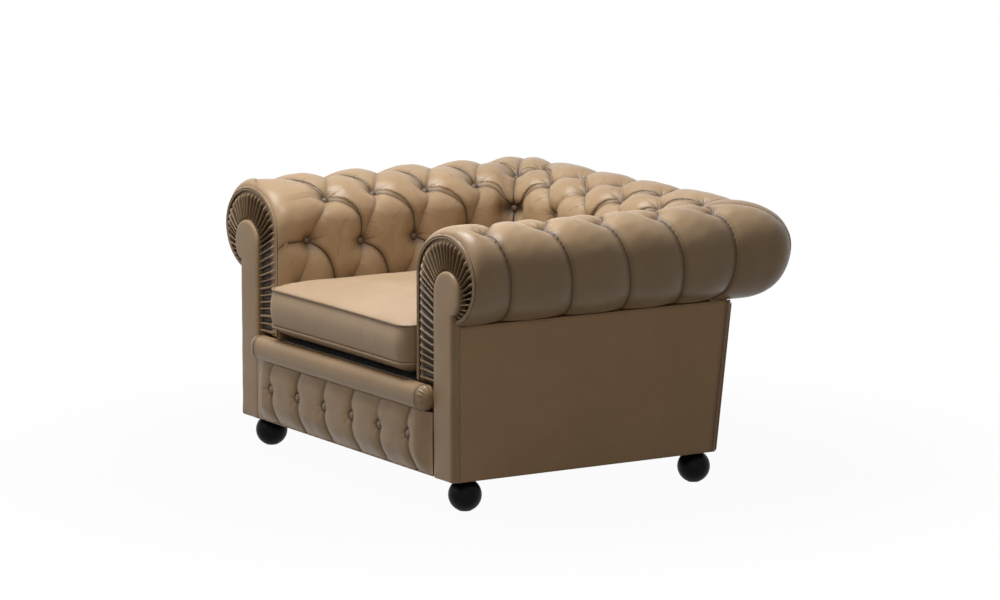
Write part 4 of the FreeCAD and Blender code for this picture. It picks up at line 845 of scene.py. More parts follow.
@dataclass(frozen=True)
class Tufting:
    """Deep buttoning: how far folds and buttons pull the leather in.

    Across a fold the leather rises like a cushion: 1 less the square of what is left of the
    fold's reach, to a power that is small on its steep side and large on its soft one. Folds
    multiply where they meet, so their corners run together softly. Each button adds a hollow,
    its depth times e to the minus squared distance over its reach.
    """

    deep: float = 0.0195
    hollow: float = 0.0130
    hollow_reach: float = 0.0200
    rounding: float = 0.0020
    steep: float = 0.35
    slack: float = 0.78
    soft: float = 0.74
    shade_reach: float = 0.0165

    def relief(self, points: np.ndarray, place: np.ndarray, turn: np.ndarray,
               along: np.ndarray, pleats: list[Pleat], path: RollPath,
               spots: np.ndarray, ways: np.ndarray, rises: np.ndarray
               ) -> tuple[np.ndarray, np.ndarray, np.ndarray]:
        """Depth below the plain surface, and the values fold and spot for the material.

        Args:
            points: Points of the plain surface.
            place: Their places.
            turn: Their turns; not used.
            along: Their distance round the outline.
            pleats: The folds.
            path: The surface's path.
            spots: The buttons' points.
            ways: Unit vectors along the path at the buttons.
            rises: Unit vectors round the roll at the buttons.

        Returns:
            The depth, the fold values and the spot values.
        """
        fullness = np.ones(len(points))
        nearest = np.full(len(points), 1.0)
        fold = np.zeros((len(points), 3))
        fold[:, 0] = 0.05
        for pleat in pleats:
            line_place, line_turn, share = pleat.line()
            line = path.points(line_place, line_turn)
            line_along = np.interp(line_turn, np.arange(6.0), ROUND_ROLL)
            low, high = line.min(axis=0) - pleat.reach, line.max(axis=0) + pleat.reach
            near = np.flatnonzero(((points > low) & (points < high)).all(axis=1))
            here = points[near]
            best = np.full(len(near), np.inf)
            found = np.zeros(len(near))
            side = np.zeros(len(near))
            for k in range(len(line) - 1):
                way = line[k + 1] - line[k]
                t = np.clip((here - line[k]) @ way / (way @ way), 0.0, 1.0)
                away = np.linalg.norm(here - line[k] - t[:, None] * way, axis=1)
                closer = away < best
                best = np.where(closer, away, best)
                found = np.where(closer, share[k] + t * (share[1] - share[0]), found)
                step = (line_place[k + 1] - line_place[k], line_along[k + 1] - line_along[k])
                offset = (place[near] - line_place[k], along[near] - line_along[k])
                turned = step[0] * offset[1] - step[1] * offset[0]
                level = abs(step[0]) > 0.3 * abs(step[1])
                turned = turned * (np.sign(step[0]) if level else -np.sign(step[1]))
                side = np.where(closer, np.sign(turned), side)
            inside = best < pleat.reach
            near, best, found, side = near[inside], best[inside], found[inside], side[inside]
            middle = 1.0 - (0.42 if pleat.soft else 0.14) * np.sin(math.pi * found)
            strength = (pleat.deep_start + (pleat.deep_end - pleat.deep_start) * found) * middle
            away = np.sqrt(best ** 2 + self.rounding ** 2) - self.rounding * 0.6
            left = 1.0 - np.clip(away / pleat.reach, 0.0, 1.0)
            rise = self.soft if pleat.soft else np.where(side > 0, self.steep, self.slack)
            full = np.clip(1.0 - left ** 2, 1e-6, 1.0) ** rise
            fullness[near] *= 1.0 - strength * (1.0 - full)
            closer = best < nearest[near]
            chosen = near[closer]
            nearest[chosen] = best[closer]
            # The fold's distance and strength drive painted shade in the material: a dark line
            # along the fold and a darkened valley.
            fold[chosen, 0] = (best * np.where(side == 0, 1.0, side))[closer]
            fold[chosen, 1] = strength[closer] * (0.55 if pleat.soft else 1.0)
        depth = self.deep * (1.0 - fullness)
        offset = points[:, None] - spots[None]
        distance = np.linalg.norm(offset, axis=2)
        depth = depth + (self.hollow * np.exp(-(distance / self.hollow_reach) ** 2)).sum(axis=1)
        which = distance.argmin(axis=1)
        # Painted shade: how dark the leather is drawn round the nearest button's hollow.
        fold[:, 2] = np.exp(-(distance.min(axis=1) / self.shade_reach) ** 2)
        own = offset[np.arange(len(points)), which]
        spot = np.stack([(own * ways[which]).sum(axis=1), (own * rises[which]).sum(axis=1),
                         np.zeros(len(points))], axis=1)
        return depth, fold, spot


@dataclass(frozen=True)
class Dome:
    """A covered button: a low dome whose leather is tucked under at the rim."""

    radius: float = 0.0098
    height: float = 0.0058
    sides: int = 28
    rings: int = 9

    def at(self, centres: np.ndarray, ways: np.ndarray, rises: np.ndarray,
           outward: np.ndarray) -> Form:
        """Buttons at several points.

        A ring at share r of the radius stands at the height times 1 less r to the power 2.4.
        The last rings turn under the rim.
        """
        share = np.sin(np.linspace(0.0, math.pi / 2.0, self.rings))[1:]
        radius = np.concatenate([share, [0.97, 0.80]]) * self.radius
        height = np.concatenate([(1.0 - share ** 2.4), [-0.22, -0.30]]) * self.height
        angle = np.linspace(0.0, math.tau, self.sides, endpoint=False)
        puckers = 1.0 + 0.018 * np.sin(angle * 9.0)[None, :] * (radius / self.radius)[:, None]
        across = radius[:, None] * np.cos(angle)[None] * puckers
        along = radius[:, None] * np.sin(angle)[None] * puckers
        local = np.stack([across, along, np.broadcast_to(height[:, None], across.shape)], axis=-1)
        local = np.concatenate([local.reshape(-1, 3), [[0.0, 0.0, self.height],
                                                       [0.0, 0.0, -0.3 * self.height]]])
        count = len(radius) * self.sides
        quads = grid_quads(len(radius), self.sides, around=True)
        caps = np.concatenate([fan(np.arange(self.sides)[::-1], count),
                               fan(np.arange(count - self.sides, count), count + 1)])
        basis = np.stack([ways, rises, outward], axis=1)
        points = centres[:, None] + np.einsum("pk,bkx->bpx", local, basis)
        starts = (np.arange(len(centres)) * len(local))[:, None, None]
        return Form(points.reshape(-1, 3), (quads[None] + starts).reshape(-1, 4),
                    (caps[None] + starts).reshape(-1, 3))


@dataclass
class Upholstery:
    """The buttoned covers of the arms and the back, with their buttons."""

    path: RollPath = field(default_factory=RollPath)
    tufting: Tufting = field(default_factory=Tufting)
    dome: Dome = field(default_factory=Dome)
    spacing: float = 0.0027
    wall_spacing: float = 0.008
    hidden_below: float = 0.405
    inner_every: int = 8
    wadding: float = 0.034
    front_wadding: float = 0.004
    board: float = 0.0297
    arm_first: float = -0.378
    arm_pitch: float = 0.160
    high_pitch: float = 0.1648
    back_pitch: float = 0.173
    high_back_pitch: float = 0.1903
    low_turns: tuple[float, ...] = (0.846, 0.806, 0.806, 0.812)
    low_shift: float = 0.019
    middle_turns: tuple[float, ...] = (1.467, 1.53, 1.50, 1.50)
    middle_shifts: tuple[float, ...] = (0.091, 0.078, 0.074, 0.066)
    high_turn: float = 2.120
    fan_front: float = -0.038
    fan_rear: float = 0.078
    drifts: tuple[float, ...] = (0.055, 0.070, 0.072, 0.060, 0.008)
    sways: tuple[float, ...] = (-0.006, -0.006, -0.006, -0.006, -0.022)
    back_low_turn: float = 0.969
    back_middle_turn: float = 1.556
    back_high_turn: float = 1.889
    hidden_turn: float = 0.500
    back_hidden_turn: float = 0.600
    under_turn: float = 3.97

    def arm_rows(self) -> tuple[list, list, list]:
        """The arm's three rows of buttons, as places and turns."""
        path = self.path
        low = [(path.place_of_y(self.arm_first + self.low_shift + k * self.arm_pitch, turn),
                turn) for k, turn in enumerate(self.low_turns)]
        middle = [(path.place_of_y(self.arm_first + k * self.arm_pitch + shift, turn), turn)
                  for k, (shift, turn) in enumerate(zip(self.middle_shifts,
                                                        self.middle_turns))]
        high = [(path.place_of_y(self.arm_first + k * self.high_pitch, self.high_turn),
                 self.high_turn) for k in range(5)]
        return low, middle, high

    def corner_pair(self) -> tuple[tuple[float, float], tuple[float, float]]:
        """The two buttons in the inner rear corner."""
        return (self.path.mitre, self.back_low_turn), (self.path.mitre, 1.66)

    def back_rows(self) -> tuple[list, list, list]:
        """The back's buttons from the middle to the mitre, as places and turns."""
        path = self.path
        low = [(path.place_of_x(k * self.back_pitch, self.back_low_turn), self.back_low_turn)
               for k in (1, 0)]
        middle = [(path.place_of_x(k * self.back_pitch, self.back_middle_turn),
                   self.back_middle_turn) for k in (1.5, 0.5)]
        high = [(path.place_of_x(k * self.high_back_pitch, self.back_high_turn),
                 self.back_high_turn) for k in (2, 1, 0)]
        return low, middle, high

    def pleats(self) -> list[Pleat]:
        """Every fold from the front of the arm to the middle of the back."""
        low, middle, high = self.arm_rows()
        corner_low, corner_high = self.corner_pair()
        back_low, back_middle, back_high = self.back_rows()
        made = []
        for k, button in enumerate(middle):
            after = low[k + 1] if k < 3 else corner_low
            made.append(Pleat(low[k], button, bow=0.02, soft=True, sway=0.006))
            made.append(Pleat(button, after, bow=0.05, sway=0.020))
            made.append(Pleat(button, high[k + 1], bow=0.03, soft=True))
            made.append(Pleat(high[k], button, bow=0.05, sway=0.008))
        for place, turn in low:
            for way in (self.fan_front, self.fan_rear):
                foot = (place + way, self.hidden_turn)
                made.append(Pleat((place, turn), foot, 1.0, 0.8, 0.05, soft=way < 0.0,
                                  sway=0.012))
                made.append(Pleat(foot, (foot[0], 0.05), 0.7, 0.5))
        made.append(Pleat((self.path.start + 0.002, self.low_turns[0] + 0.01), low[0], 0.95, 1.0,
                          reach=0.050))
        made.append(Pleat((self.path.start + 0.002, 1.86), high[0], 0.45, 1.0, bow=0.10,
                          reach=0.050))
        made.append(Pleat((self.path.start + 0.004, 1.36), middle[0], 0.0, 0.45, reach=0.045))
        for (place, turn), drift, sway in zip(high, self.drifts, self.sways):
            made.append(Pleat((place, turn), (place + drift, self.under_turn), 1.0, 0.62,
                              reach=0.080, sway=sway))
        made.append(Pleat(corner_low, corner_high, reach=0.050))
        made.append(Pleat(corner_high, (self.path.mitre, 2.55), 1.0, 0.30))
        made.append(Pleat(corner_low, (self.path.mitre, 0.05), 1.0, 0.8))
        made.append(Pleat(high[4], corner_high, 0.8, 1.0))
        made.append(Pleat(corner_high, back_high[0], 1.0, 0.8))
        made.append(Pleat(corner_low, back_middle[0]))
        made.append(Pleat(back_middle[0], back_low[0], bow=0.08))
        made.append(Pleat(back_low[0], back_middle[1], bow=0.03, soft=True))
        made.append(Pleat(back_middle[1], back_low[1], bow=0.08))
        made.append(Pleat(back_high[0], back_middle[0], bow=0.05))
        made.append(Pleat(back_middle[0], back_high[1], bow=0.02, soft=True))
        made.append(Pleat(back_high[1], back_middle[1], bow=0.05))
        made.append(Pleat(back_middle[1], back_high[2], bow=0.02, soft=True))
        half = self.back_pitch / 2.0
        for place, turn in back_low:
            for way in (-half, half):
                foot = (place + way, self.back_hidden_turn)
                made.append(Pleat((place, turn), foot, 1.0, 0.8))
                made.append(Pleat(foot, (foot[0], 0.05), 0.7, 0.5))
        for place, turn in back_high:
            made.append(Pleat((place, turn), (place, self.under_turn), 1.0, 0.62, reach=0.080))
        return made

    def rows(self) -> np.ndarray:
        """Turns of the grid's rows."""
        return self.path.turns(self.spacing, self.wall_spacing, self.hidden_below)

    def spot_frames(self, spots: list) -> tuple[np.ndarray, ...]:
        """Point, way along the path, way round the roll and outward normal at each button."""
        place, turn = np.array(spots).T
        point = self.path.points(place, turn)
        way = unit(self.path.points(place + 1e-4, turn) - self.path.points(place - 1e-4, turn))
        rise = unit(self.path.points(place, turn + 1e-4) - self.path.points(place, turn - 1e-4))
        outward = unit(np.cross(rise, way))
        return point, way, unit(np.cross(way, outward)), outward

    def surface(self, places: np.ndarray, insets: np.ndarray, pleats: list[Pleat],
                spots: list, seed: int) -> Form:
        """The cover over a stretch of places: a tufted outside, a plain inside and closed ends.

        The inside has one point for every few of the outside's, so each end is closed by
        triangles that fan from the outside's points to the inside's.

        Args:
            places: Columns of the grid.
            insets: How thick the cover is at each column.
            pleats: Folds that may reach the stretch.
            spots: Buttons that may reach it.
            seed: Picks the unevenness.

        Returns:
            The closed form.
        """
        turns = self.rows()
        grid_place, grid_turn = np.meshgrid(places, turns, indexing="ij")
        outside = self.path.points(grid_place, grid_turn)
        across, height = self.path.roll.at(turns, self.path.crown_arm)
        round_roll = np.concatenate([[0.0], np.cumsum(
            np.hypot(np.diff(across), np.diff(height)))])
        way = np.gradient(outside, axis=0)
        rise = np.gradient(outside, axis=1)
        normal = unit(np.cross(rise, way))
        flat = outside.reshape(-1, 3)
        point, ways, rises, _ = self.spot_frames(spots)
        depth, fold, spot = self.tufting.relief(
            flat, grid_place.ravel(), grid_turn.ravel(),
            np.broadcast_to(round_roll, grid_turn.shape).ravel(), pleats, self.path,
            point, ways, rises)
        turn_flat, y = grid_turn.ravel(), flat[:, 1]
        on_arm = grid_place.ravel() < 0.0
        calm = (1.0 - 0.75 * smooth(turn_flat, 3.75, 4.0)) * (0.3 + 0.7 * smooth(
            turn_flat, 0.05, 0.3))
        calm = calm * np.where(on_arm, 0.12 + 0.88 * smooth(y, self.path.front,
                                                            self.path.full + 0.02), 1.0)
        swell = ripple(flat, 0.11, seed) * 0.0007 + ripple(flat, 0.045, seed + 1) * 0.0003
        moved = flat - normal.reshape(-1, 3) * ((depth + swell) * calm)[:, None]
        fold[:, 1] *= np.clip(calm * 4.0, 0.0, 1.0)
        every = self.inner_every
        inner_turns = turns[::every]
        inside = self.path.points(*np.meshgrid(places, inner_turns, indexing="ij"),
                                  inset=insets[:, None]).reshape(-1, 3)
        columns, rows, inner = len(places), len(turns), len(inner_turns)
        start = columns * rows
        outer_index = np.arange(columns * rows).reshape(columns, rows)
        inner_index = start + np.arange(columns * inner).reshape(columns, inner)
        quads = [grid_quads(columns, rows), grid_quads(columns, inner)[:, ::-1] + start]
        for edge_out, edge_in in ((outer_index[:, 0], inner_index[:, 0]),
                                  (outer_index[:, -1][::-1], inner_index[:, -1][::-1])):
            quads.append(np.stack([edge_out[1:], edge_out[:-1], edge_in[:-1], edge_in[1:]],
                                  axis=1))
        triangles = []
        for column, way_round in ((0, 1), (columns - 1, -1)):
            k = np.arange(rows - 1)
            own = np.minimum(k // every, inner - 1)
            rim, core = outer_index[column], inner_index[column]
            triangles.append(np.stack([rim[k], rim[k + 1], core[own]], axis=1)[:, ::way_round])
            step = np.flatnonzero(own[1:] != own[:-1]) + 1
            triangles.append(np.stack([rim[step], core[own[step]], core[own[step - 1]]],
                                      axis=1)[:, ::way_round])
        zeros = np.zeros((len(inside), 3))
        away = zeros + (0.05, 0.0, 0.0)
        return Form(np.concatenate([moved, inside]), np.concatenate(quads),
                    np.concatenate(triangles),
                    {"fold": np.concatenate([fold, away]),
                     "spot": np.concatenate([spot, zeros + (0.1, 0.1, 0.0)])})

    def arm_places(self) -> np.ndarray:
        """Columns of an arm: close together where the front rounds over."""
        path = self.path
        front = path.full - path.zone_y
        rounded = front - (front - path.start) * np.sin(np.linspace(math.pi / 2.0, 0.0, 15))
        straight = np.linspace(front, 0.0, int(-front / self.spacing))[1:]
        corner = np.linspace(0.0, path.mitre, 96)[1:]
        return np.concatenate([rounded, straight, corner])

    def back_places(self) -> np.ndarray:
        """Columns of half of the back, from the mitre to the middle."""
        path = self.path
        corner = np.linspace(path.mitre, path.zone, 96)
        straight = np.linspace(path.zone, path.end, int(path.zone_x / self.spacing))[1:]
        return np.concatenate([corner, straight])

    def all_spots(self) -> list:
        """Every button on one half."""
        rows = [*self.arm_rows(), list(self.corner_pair()), *self.back_rows()]
        return [spot for row in rows for spot in row]

    def build_arm(self, side: Side, finishes: Finishes) -> None:
        """One arm's cover and its buttons."""
        places = self.arm_places()
        thin = places + self.path.zone_y < self.path.front + self.board
        insets = np.where(thin, self.front_wadding, self.wadding)
        form = self.surface(places, insets, self.pleats(), self.all_spots(),
                            11 + 20 * (side is Side.LEFT)).mirrored(side)
        cover = piece(f"arm_leather_{side.word}", form, finishes.hide, CHAIR,
                      (f"arm_cover_{side.word}",))
        spots = [spot for row in self.arm_rows() for spot in row]
        self.build_buttons(f"arm_button_set_{side.word}", spots, side, finishes,
                           f"arm_buttons_{side.word}")

    def build_buttons(self, name: str, spots: list, side: Side | None, finishes: Finishes,
                      node: str) -> None:
        """Covered buttons of one cover; with no side, they are made on both halves."""
        point, way, rise, outward = self.spot_frames(spots)
        seat = self.tufting.deep + self.tufting.hollow - 0.0025
        form = self.dome.at(point - outward * seat, way, rise, outward)
        if side is None:
            middle = np.abs(point[:, 0]) < 1e-6
            other = self.dome.at((point - outward * seat)[~middle], way[~middle],
                                 rise[~middle], outward[~middle]).mirrored(Side.RIGHT)
            other = Form(other.points, other.quads[:, ::-1], other.triangles[:, ::-1])
            form = joined([form, other])
        else:
            form = form.mirrored(side)
        piece(name, form, finishes.button_hide, CHAIR, (node,))

    def build_back(self, finishes: Finishes) -> None:
        """The back's cover, whole, and its buttons."""
        half = self.back_places()
        count = len(half)
        form = self.surface(half, np.full(count, self.wadding), self.pleats(),
                            self.all_spots() + self.beyond_spots(), 71)
        form = self.doubled(form, count)
        cover = piece("back_leather", form, finishes.hide, CHAIR, ("back_cover",))
        spots = [spot for row in self.back_rows() for spot in row] + list(self.corner_pair())
        self.build_buttons("back_button_set", spots, None, finishes, "back_buttons")

    def beyond_spots(self) -> list:
        """The nearest buttons past the middle of the back."""
        return [(self.path.end + 0.5 * self.back_pitch, self.back_middle_turn)]

    def doubled(self, form: Form, columns: int) -> Form:
        """A half form and its mirror image, joined at the middle with the seam left open.

        The end cap at the middle is left out of both halves, and the two share no points,
        because both edges lie on the middle plane.
        """
        rows = len(self.rows())
        last = (columns - 1) * rows
        inner = len(self.rows()[::self.inner_every])
        last_inner = columns * rows + (columns - 1) * inner
        on_middle = np.zeros(len(form.points), bool)
        on_middle[last:columns * rows] = True
        on_middle[last_inner:] = True
        keep = ~on_middle[form.triangles].all(axis=1)
        half = Form(form.points.copy(), form.quads, form.triangles[keep], form.values)
        half.points[on_middle, 0] = 0.0
        mirror_index = np.arange(len(half.points)) + len(half.points)
        mirror_index[on_middle] = np.flatnonzero(on_middle)
        other_points = half.points * (-1.0, 1.0, 1.0)
        points = np.concatenate([half.points, other_points])
        values = {name: np.concatenate([value, value]) for name, value in half.values.items()}
        quads = np.concatenate([half.quads, mirror_index[half.quads][:, ::-1]])
        triangles = np.concatenate([half.triangles, mirror_index[half.triangles][:, ::-1]])
        used = np.zeros(len(points), bool)
        used[quads.ravel()] = True
        used[triangles.ravel()] = True
        fresh = np.cumsum(used) - 1
        return Form(points[used], fresh[quads], fresh[triangles],
                    {name: value[used] for name, value in values.items()})


# Facings


@dataclass
class Facing:
    """The front of an arm: gathered band, padded post and twin piping."""

    outline: Outline = FACING
    face_x: float = 0.346
    crown: float = FACING_CROWN
    post_inner: float = 0.442
    post_outer: float = 0.530
    post_foot: float = 0.0785
    rear: float = -0.4463
    head_radius: float = 0.060
    head_height: float = 0.532
    head_lip: float = 0.488
    cord: float = 0.0024
    cord_y: float = -0.459
    band_back: float = -0.4465
    band_front: float = -0.466
    level_pleats: int = 13
    round_pleats: int = 25
    level_part: float = 0.30
    fold_columns: int = 22
    band_rows: int = 26
    pad_drop: tuple[float, ...] = (0.0, 0.0, 0.0004, 0.0016, 0.0034, 0.0058, 0.0085, 0.013,
                                   0.020, 0.028)
    pad_depth: tuple[float, ...] = (-0.4463, -0.4590, -0.4637, -0.4663, -0.4678, -0.4687,
                                    -0.4691, -0.4694, -0.46955, -0.4697)

    def edge(self, inset: float, count: int, last_turn: float = 3.86,
             first_height: float = 0.3065) -> np.ndarray:
        """The scroll's outline, from its inner foot over the head to its underside."""
        turn = np.linspace(0.0, last_turn, 4001)
        across, height = shrunk(self.outline, turn, self.crown, inset)
        across = np.where(turn < 1.0, self.outline.setback + inset, across)
        path = np.stack([self.face_x + across, np.zeros(len(turn)), height], axis=1)
        path = path[path[:, 2] > first_height - 1e-9] if first_height else path
        path = np.concatenate([[[path[0, 0], 0.0, first_height]], path])
        return resampled(path, count)

    def core_edge(self, count: int, grow: float = 0.0, first_height: float = 0.3065
                  ) -> np.ndarray:
        """The post's rounded head, from its inner side over the top to its outer lip."""
        centre = self.post_inner + self.head_radius
        radius = self.head_radius + grow
        angle = np.linspace(math.pi, 0.0, 400)
        over = np.stack([centre + radius * np.cos(angle), np.zeros(400),
                         self.head_height + radius * np.sin(angle)], axis=1)
        drop = np.linspace(0.0, math.pi / 2.0, 120)
        outer = centre + radius
        lip_x = self.post_outer + grow
        under = np.stack([
            lip_x + (outer - lip_x) * np.cos(drop), np.zeros(120),
            self.head_height - (self.head_height - self.head_lip + grow) * np.sin(drop)], axis=1)
        foot = [[centre - radius, 0.0, first_height]]
        return resampled(np.concatenate([foot, over, under[1:]]), count)

    def build_band(self, side: Side, finishes: Finishes) -> None:
        """The gathered band: folds between the core's edge and the scroll's edge.

        Its height is the back plane plus a rounded saw: near the core each fold stands as a
        narrow ridge beside a deep valley, and near the piping it flattens out.
        """
        part = self.level_part
        folds = self.level_pleats + self.round_pleats
        phase = np.linspace(0.0, folds, folds * self.fold_columns + 1)
        share = np.where(phase < self.level_pleats, phase / self.level_pleats * part,
                         part + (phase - self.level_pleats) / self.round_pleats * (1.0 - part))
        inner = pick(self.core_edge(4001, 0.0004), share, part, self.head_height)
        outer = pick(self.edge(0.0098, 4001, 3.80), share, part, self.outline.height)
        rng = np.random.default_rng(5 + side.value)
        jitter = np.interp(phase, np.arange(folds + 1), rng.uniform(-0.16, 0.16, folds + 1))
        size = np.interp(phase, np.arange(folds + 1), rng.uniform(0.82, 1.0, folds + 1))
        beat = (phase + jitter) % 1.0
        ridge = np.exp(-(np.abs(beat - 0.5) / 0.21) ** 2.2) * size
        out = np.linspace(0.0, 1.0, self.band_rows)
        level = phase < self.level_pleats
        deep = np.where(level[:, None], 0.55, 1.0 - 0.05 * out[None])
        fade = 1.0 - 0.80 * smooth(out, 0.62, 1.0)[None]
        tuck = smooth(out, 0.0, 0.07)[None]
        reach = self.band_back - self.band_front
        rise = (1.0 - deep * fade * (1.0 - ridge[:, None])) * reach
        rise = rise * (0.62 + 0.38 * tuck) * (1.0 - 0.55 * smooth(out, 0.80, 1.0))[None]
        points = inner[:, None] + (outer - inner)[:, None] * out[None, :, None]
        bend = np.gradient(points, axis=0)
        points = points + unit(bend) * (0.0012 * np.sin(out * math.pi)[None, :, None]
                                        * np.sin(phase * 0.7)[:, None, None])
        points[..., 1] = self.band_back - rise
        columns, rows = points.shape[:2]
        count = columns * rows
        back = points.copy()
        back[..., 1] = self.band_back + 0.0002
        valley = np.minimum(beat, 1.0 - beat)[:, None] * 0.016
        fold = np.zeros((count, 3))
        fold[:, 0] = np.broadcast_to(valley, (columns, rows)).ravel()
        # Painted shade: a dark line down each valley near the core, and the valleys darkened (the
        # third value) where the folds are deep.
        fold[:, 1] = np.broadcast_to(0.9 * (1.0 - smooth(out, 0.72, 0.95))[None],
                                     (columns, rows)).ravel()
        dark = (1.0 - ridge / size)[:, None] * (1.0 - smooth(out, 0.66, 0.94))[None]
        fold[:, 2] = np.clip(dark * 1.25, 0.0, 1.0).ravel()
        form = slab(points, back)
        form.values["fold"] = np.concatenate([fold, np.zeros((count, 3))])
        piece(f"gathered_band_{side.word}", form.mirrored(side), finishes.hide, CHAIR,
              (f"pleated_band_{side.word}",))

    def post_loop(self, count: int) -> np.ndarray:
        """The whole outline of the padded post, closed."""
        over = self.core_edge(2400, 0.0, self.post_foot + 0.004)
        low = [[self.post_outer, 0.0, self.post_foot + 0.004],
               [self.post_outer - 0.004, 0.0, self.post_foot],
               [self.post_inner + 0.004, 0.0, self.post_foot]]
        return resampled(np.concatenate([over, low, over[:1]]), count + 1)[:-1]

    def build_post(self, side: Side, finishes: Finishes) -> None:
        """The padded post: rings that shrink to a spine, with a rounded edge and a slight crown."""
        loop = self.post_loop(720)
        centre_x = 0.5 * (self.post_inner + self.post_outer)
        spine_x = np.interp(loop[:, 2], [self.head_lip - 0.02, self.head_height],
                            [centre_x, self.post_inner + self.head_radius])
        spine = np.stack([spine_x, np.zeros(len(loop)),
                          np.clip(loop[:, 2], self.post_foot + 0.040, self.head_height)], axis=1)
        reach = np.linalg.norm(spine - loop, axis=1, keepdims=True)
        drop, depth = np.array(self.pad_drop), np.array(self.pad_depth)
        share = np.minimum(drop[:, None, None] / reach[None], 0.97)
        rings = loop[None] + (spine - loop)[None] * share
        rings[..., 1] = depth[:, None]
        last = spine * (1.0, 0.0, 1.0) + (0.0, -0.4698, 0.0)
        points = np.concatenate([rings.reshape(-1, 3), last])
        count, around = len(depth), len(loop)
        quads = grid_quads(count + 1, around, around=True)
        base = rings[0] + (spine - rings[0]) * (1.0, 0.0, 1.0) * 0.98
        base[:, 1] = self.rear
        quads = np.concatenate([quads, np.stack([
            np.arange(around), len(points) + np.arange(around),
            len(points) + np.roll(np.arange(around), -1), np.roll(np.arange(around), -1)],
            axis=1)[:, ::-1]])
        points = np.concatenate([points, base])
        swell = ripple(points, 0.10, 31 + side.value) * 0.0005
        points[:, 1] += swell * smooth(-points[:, 1], 0.4635, 0.4685)
        form = Form(points, quads)
        cover = piece(f"post_pad_{side.word}", form.mirrored(side), finishes.hide, CHAIR,
                      (f"post_leather_{side.word}",))

    def build_piping(self, side: Side, finishes: Finishes) -> None:
        """Twin cords round the scroll's edge, sewn side by side."""
        forms = []
        for number in (0, 1):
            path = self.edge(self.cord + number * (2.0 * self.cord + 0.0001), 640, 3.83)
            path[:, 1] = self.cord_y
            forms.append(tube(path, self.cord, (0.0, 1.0, 0.0), sides=14))
        piece(f"facing_cord_{side.word}", joined(forms).mirrored(side), finishes.cord_hide,
              CHAIR, (f"facing_piping_{side.word}",))


def pick(path: np.ndarray, share: np.ndarray, part: float, height: float) -> np.ndarray:
    """Points of an edge: its straight inner side, up to a height, takes a part of the shares."""
    level = int(np.argmax(path[:, 2] >= height - 1e-6))
    index = np.where(share < part, share / part * level,
                     level + (share - part) / (1.0 - part) * (len(path) - 1 - level))
    index = np.clip(index, 0, len(path) - 1)
    low = np.floor(index).astype(int)
    high = np.minimum(low + 1, len(path) - 1)
    left = (index - low)[:, None]
    return path[low] * (1.0 - left) + path[high] * left


# Front of the seat


